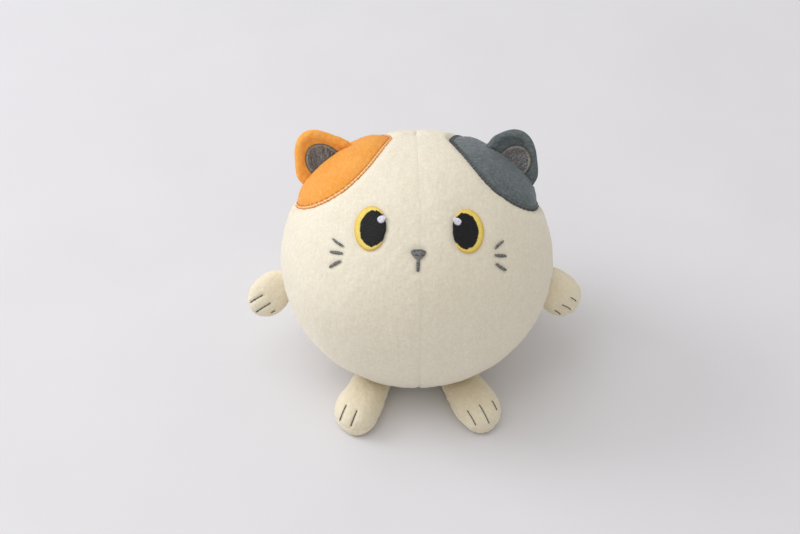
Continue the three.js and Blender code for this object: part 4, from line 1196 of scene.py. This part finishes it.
def puff(name, v, f, pins, pressure, frames, cap):
    """Cloth under pressure with its sewn lines held: returns the moved points. v in mm."""
    scale = 10.0  # run ten times as large, where the solver is at its best
    v = np.asarray(v, float)
    mid = v.mean(0)
    me = bpy.data.meshes.new(name + "_sim")
    me.from_pydata(((v - mid) * MM * scale).tolist(), [], [tuple(int(i) for i in x) for x in f])
    bm = bmesh.new()
    bm.from_mesh(me)
    bmesh.ops.recalc_face_normals(bm, faces=bm.faces)
    bm.to_mesh(me)
    bm.free()
    o = bpy.data.objects.new(name + "_sim", me)
    bpy.context.scene.collection.objects.link(o)
    g = o.vertex_groups.new(name="pin")
    for w in np.unique(np.round(pins, 2)):
        if w > 0:
            g.add([int(i) for i in np.where(np.round(pins, 2) == w)[0]], float(w), "REPLACE")
    c = o.modifiers.new("cloth", "CLOTH")
    st = c.settings
    st.quality = 6
    st.mass = 0.2
    st.tension_stiffness = st.compression_stiffness = 18
    st.shear_stiffness = 8
    st.bending_stiffness = 0.6
    st.vertex_group_mass = "pin"
    st.pin_stiffness = 1.0
    st.use_pressure = True
    st.uniform_pressure_force = pressure
    st.effector_weights.gravity = 0
    c.collision_settings.use_collision = False
    c.point_cache.frame_start = 1
    c.point_cache.frame_end = frames
    sc = bpy.context.scene
    for fr in range(1, frames + 1):
        sc.frame_set(fr)
    e = o.evaluated_get(bpy.context.evaluated_depsgraph_get())
    em = e.to_mesh()
    co = np.zeros(len(em.vertices) * 3)
    em.vertices.foreach_get("co", co)
    e.to_mesh_clear()
    co = co.reshape(-1, 3) / (MM * scale) + mid
    sc.frame_set(1)
    bpy.data.objects.remove(o)
    bpy.data.meshes.remove(me)
    move = co - v
    far = np.linalg.norm(move, axis=1, keepdims=True)
    move *= np.minimum(1, cap / np.maximum(far, 1e-9))
    return v + move


def subdivide(v, f, times=1):
    me = bpy.data.meshes.new("tmp")
    me.from_pydata((np.asarray(v) * MM).tolist(), [], [tuple(int(i) for i in x) for x in f])
    o = bpy.data.objects.new("tmp", me)
    bpy.context.scene.collection.objects.link(o)
    s = o.modifiers.new("s", "SUBSURF")
    s.levels = s.render_levels = times
    e = o.evaluated_get(bpy.context.evaluated_depsgraph_get())
    em = e.to_mesh()
    co = np.zeros(len(em.vertices) * 3)
    em.vertices.foreach_get("co", co)
    nr = np.zeros(len(em.vertices) * 3)
    em.vertices.foreach_get("normal", nr)
    faces = [tuple(p.vertices) for p in em.polygons]
    e.to_mesh_clear()
    bpy.data.objects.remove(o)
    bpy.data.meshes.remove(me)
    return co.reshape(-1, 3) / MM, nr.reshape(-1, 3), faces


def cast(kind, fr, tree, p2):
    """The plush's outer face under points [along, across] of the toe lines' level."""
    flat = np.asarray(p2, float).reshape(-1, 2)
    pos, nn = np.zeros((len(flat), 3)), np.zeros((len(flat), 3))
    for i, (s_, p_) in enumerate(flat):
        a = fr[0] + s_ * fr[1] + p_ * fr[2] + CLAW_LEVEL[kind] * fr[3]
        hit, n_, _, _ = tree.ray_cast(Vector(a + OVER * 20), Vector(-OVER))
        pos[i] = hit if hit is not None else a
        nn[i] = n_ if n_ is not None else fr[3]
    nn = np.where((nn @ OVER)[:, None] < 0, -nn, nn)
    return pos.reshape(p2.shape[:-1] + (3,)), nn.reshape(p2.shape[:-1] + (3,))


def toe_lines(name, kind, fr, tree):
    return [cast(kind, fr, tree, resample(np.array(seg, float), n=14))[0] for seg in CLAWS[name]]


def near_lines(v, lines):
    pts = np.concatenate([resample(a, n=40) for a in lines])
    out = np.full(len(v), 9.0)
    for k in range(0, len(v), 4000):
        out[k : k + 4000] = np.sqrt(((v[k : k + 4000, None] - pts[None]) ** 2).sum(-1).min(1))
    return out


for kind in ("arm", "leg"):
    for side, sg in SIDE.items():
        name = f"{kind}_{side}"
        fr = limb_frame(kind, side)
        M, K = (34, 40) if kind == "arm" else (46, 44)
        q, y = limb_mesh(kind, side, M, K)
        # sewn edge: drawn in a little, with gathers
        edge = np.abs(y)[None, :] * np.ones((M, 1))
        v = limb_place(fr, q).reshape(-1, 3)
        if kind == "leg":
            v[:, 2] = np.maximum(v[:, 2], 0.0)
        f = ring_faces(M, K)
        qq = q.reshape(-1, 3)
        lines = toe_lines(name, kind, fr, BVHTree.FromPolygons(v.tolist(), f))
        seam = np.tile(np.abs(y) < 0.08, M)
        pins = np.where(seam, 1.0, 0.0)
        pins = np.where(qq[:, 0] < 1.0, 1.0, pins)
        pins = np.where(qq[:, 0] > qq[:, 0].max() - 0.02, 1.0, pins)
        claw_d = near_lines(v, lines)
        pins = np.maximum(pins, np.where(claw_d < 0.55, 1.0, 0.0))
        if kind == "leg":
            pins = np.maximum(pins, np.where(v[:, 2] < 0.4, 1.0, 0.0))
        v = puff(name, v, f, pins, 4.0, 16, 0.8)
        v, nr, f = subdivide(v, f, 2)
        # coordinates of the finer mesh in the limb's frame
        rel = v - fr[0]
        qq = np.stack([rel @ fr[1], rel @ fr[2], rel @ fr[3]], axis=1)
        table = np.array(SHAPE[f"{kind}_{side}"], float)
        hi = np.interp(qq[:, 0], table[:, 0], table[:, 1])
        lo = np.interp(qq[:, 0], table[:, 0], table[:, 2])
        # distance from the perimeter seam, which runs where out = 0
        from_seam = np.hypot(qq[:, 2], np.minimum(np.abs(hi - qq[:, 1]), np.abs(qq[:, 1] - lo)) * 0.6)
        claw_d = near_lines(v, toe_lines(name, kind, fr, BVHTree.FromPolygons(v.tolist(), f)))
        valley = np.exp(-((np.abs(qq[:, 2]) / 0.42) ** 1.5))
        gather = noise(np.stack([qq[:, 0] * 1.0, qq[:, 1] * 1.0, np.sign(qq[:, 2]) * 9.0], axis=1), 2.1, 50)
        h = (-0.42 if kind == "arm" else -0.26) * valley + 0.14 * gather * np.exp(-((np.abs(qq[:, 2]) - 0.9) / 1.1) ** 2)
        h = h - 0.38 * np.exp(-((claw_d / 0.6) ** 2)) - 0.12 * np.exp(-((claw_d / 1.6) ** 2))
        h = h + 0.2 * noise(v, 7, 51) + pile(v, 0.95) * (1 - 0.7 * np.exp(-((claw_d / 0.6) ** 2)))
        v = v + nr * h[:, None]
        if kind == "leg":
            v[:, 2] = np.where(v[:, 2] < 2, 0.5 * (v[:, 2] + np.sqrt(v[:, 2] ** 2 + 0.12)), v[:, 2])
        # painted shade in the seam valley and along the toe lines
        dent = np.clip((0.6 if kind == "arm" else 0.3) * valley + 0.6 * np.exp(-((claw_d / 0.6) ** 2)), 0, 1)
        o = new_mesh(f"{name}_plush", v, f, {"dent": dent})
        words = ("front", "back") if kind == "arm" else ("top", "sole")
        finish_piece(o, LIMB, "limb_plush", None, f"{name}_{words[0]}", f"{name}_{words[1]}")
        tree = BVHTree.FromPolygons(v.tolist(), f)
        # two lengths, larger for the arm than for the leg
        near, far = (2.5, 9.0) if kind == "arm" else (1.5, 5.0)
        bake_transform(o)

        def on_limb(p2, kind=kind, fr=fr, tree=tree):
            return cast(kind, fr, tree, p2)

        q, _ = limb_mesh(kind, side, 20, 24)
        mid = (q[..., 1].max(1) + q[..., 1].min(1)) / 2
        q[..., 1] = mid[:, None] + (q[..., 1] - mid[:, None]) * 0.8
        q[..., 0] = np.where(q[..., 0] > 0, q[..., 0] * 0.92, q[..., 0] * 0.6)
        q[..., 2] *= 0.74
        w = limb_place(fr, q).reshape(-1, 3)
        w = w + 0.2 * np.stack([noise(w, 2.4, 70 + k) for k in range(3)], axis=1)
        if kind == "leg":
            w[:, 2] = np.maximum(w[:, 2], 1.0)
        wad = new_mesh(f"{name}_wadding", w, ring_faces(20, 24))
        finish_piece(wad, FILLING, "filling", None, f"{name}_filling")
        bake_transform(wad)

        for i, seg in enumerate(CLAWS[name]):
            t = Threads()
            path = np.array(seg, float)
            if path[0][0] > path[-1][0]:
                path = path[::-1]
            length = np.linalg.norm(path[1] - path[0])
            count = max(2, int(round(length / 1.55)))
            steps = np.linspace(0, 1, count + 1)
            bow = 0.12 * np.sin(np.pi * steps)
            along_dir = (path[1] - path[0]) / length
            side_dir = np.array([-along_dir[1], along_dir[0]])
            pts = path[0] + (path[1] - path[0]) * steps[:, None] + side_dir * bow[:, None]
            over = along_dir * 0.1
            segs = np.array([(pts[k] - over * (k > 0), pts[k + 1] + over * (k < count - 1)) for k in range(count)])
            stitches(segs, on_limb, 0.2, 0.15, 0.12, 0.18, t, m=8, bulge=0.1, taper=0.55, seed=60 + i)
            ob = t.build(f"{name}_claw_{i + 1}_thread")
            if kind == "arm":
                finish_piece(ob, DARK_THREAD, "dark_thread", None, f"{name}_claw_{i + 1}")
                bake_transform(ob)
            else:
                finish_piece(ob, DARK_THREAD, "dark_thread", name, f"{name}_claw_{i + 1}")

# ---------------------------------------------------------------- the ball's wadding, inside its panels
bm = bmesh.new()
bmesh.ops.create_icosphere(bm, subdivisions=5, radius=1.0)
bm.verts.ensure_lookup_table()
core = unit(np.array([v.co[:] for v in bm.verts]))
core_faces = [tuple(v.index for v in f.verts) for f in bm.faces]
bm.free()
wad_p, _ = on_ball(core, -4.3)
room = np.full(len(core), 0.0)
for kind in ("arm", "leg"):
    for side in SIDE:
        fr = limb_frame(kind, side)
        far = np.linalg.norm(on_ball(core)[0] - fr[0], axis=1)
        room = np.maximum(room, (5.2 if kind == "leg" else 3.4) * np.exp(-((far / 11.0) ** 4)))
for side in SIDE:
    lat = math.radians(EAR_LAT[side])
    rd = toy(SIDE[side] * math.sin(lat), 0, math.cos(lat))
    tg = toy(SIDE[side] * math.cos(lat), 0, -math.sin(lat))
    rel = on_ball(core)[0] - on_ball(rd[None])[0]
    room = np.maximum(room, 1.4 * np.exp(-((np.abs(rel @ tg) / 14.0) ** 4) - ((rel @ FWD) / 5.0) ** 2 - ((rel @ rd) / 9.0) ** 4))
wad_p = on_ball(core, -4.3 - room + 0.35 * noise(wad_p, 4.5, 80) + 0.2 * noise(wad_p, 1.9, 81))[0]
wad_p[:, 2] = np.maximum(wad_p[:, 2], 2.2)
finish_piece(new_mesh("body_wadding", wad_p, core_faces), FILLING, "filling", "body", "body_filling")

# ---------------------------------------------------------------- CAD nodes that stay: the root knots, inside
for node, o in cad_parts.items():
    if o.hide_render:
        continue
    o.data.materials.clear()
    o.data.materials.append(FILLING if "filling" in node else CREAM_THREAD)

# ---------------------------------------------------------------- floor, light, camera
FLOOR = Mat("floor")
grain = FLOOR.noise(18, 2, 0.5)
FLOOR.link(FLOOR.mix(FLOOR.ramp(grain, 0.3, 0.7), lin((222, 221, 225)), lin((225, 224, 228))), FLOOR.b.inputs["Base Color"])
FLOOR.set(Roughness=0.55, Specular_IOR_Level=0.25)
bpy.ops.mesh.primitive_plane_add(size=12, location=(0, 0, -0.0002))
floor = bpy.context.object
floor.name = "floor"
floor.data.materials.append(FLOOR.m)

world = bpy.data.worlds.new("studio")
bpy.context.scene.world = world
world.use_nodes = True
world.node_tree.nodes["Background"].inputs["Color"].default_value = (1.0, 0.985, 0.955, 1)
world.node_tree.nodes["Background"].inputs["Strength"].default_value = 0.6


def area(name, at, look, size, power, colour=(1, 1, 1)):
    light = bpy.data.lights.new(name, "AREA")
    light.shape = "DISK"
    light.size = size
    light.energy = power
    light.color = colour
    o = bpy.data.objects.new(name, light)
    bpy.context.scene.collection.objects.link(o)
    o.location = at
    o.rotation_mode = "QUATERNION"
    o.rotation_quaternion = (Vector(look) - Vector(at)).to_track_quat("-Z", "Y")
    return o


area("key", (-1.19, 0.38, 0.77), (0.0, 0.0, 0.03), 0.8, 7.6, (0.94, 0.955, 1.0))
area("top", (-0.55, 0.0, 1.3), (0.0, 0.0, 0.03), 1.6, 7.2, (0.985, 0.985, 1.0))

cam_data = bpy.data.cameras.new("camera")
cam = bpy.data.objects.new("camera", cam_data)
bpy.context.scene.collection.objects.link(cam)
pitch, yaw = math.radians(41.3), math.radians(-0.9)
fh = Vector((-math.sin(yaw), math.cos(yaw), 0))
right = Vector((math.cos(yaw), math.sin(yaw), 0))
look = fh * math.cos(pitch) + Vector((0, 0, -math.sin(pitch)))
up = fh * math.sin(pitch) + Vector((0, 0, math.cos(pitch)))
cam.matrix_world = Matrix(
    (
        (right.x, up.x, -look.x, -0.01195),
        (right.y, up.y, -look.y, -0.426),
        (right.z, up.z, -look.z, 0.41336),
        (0, 0, 0, 1),
    )
)
cam_data.lens = 68.85
cam_data.sensor_width = 36
cam_data.clip_start, cam_data.clip_end = 0.01, 20
bpy.context.scene.camera = cam
bpy.context.scene.view_settings.view_transform = "Standard"
bpy.context.scene.view_settings.look = "None"
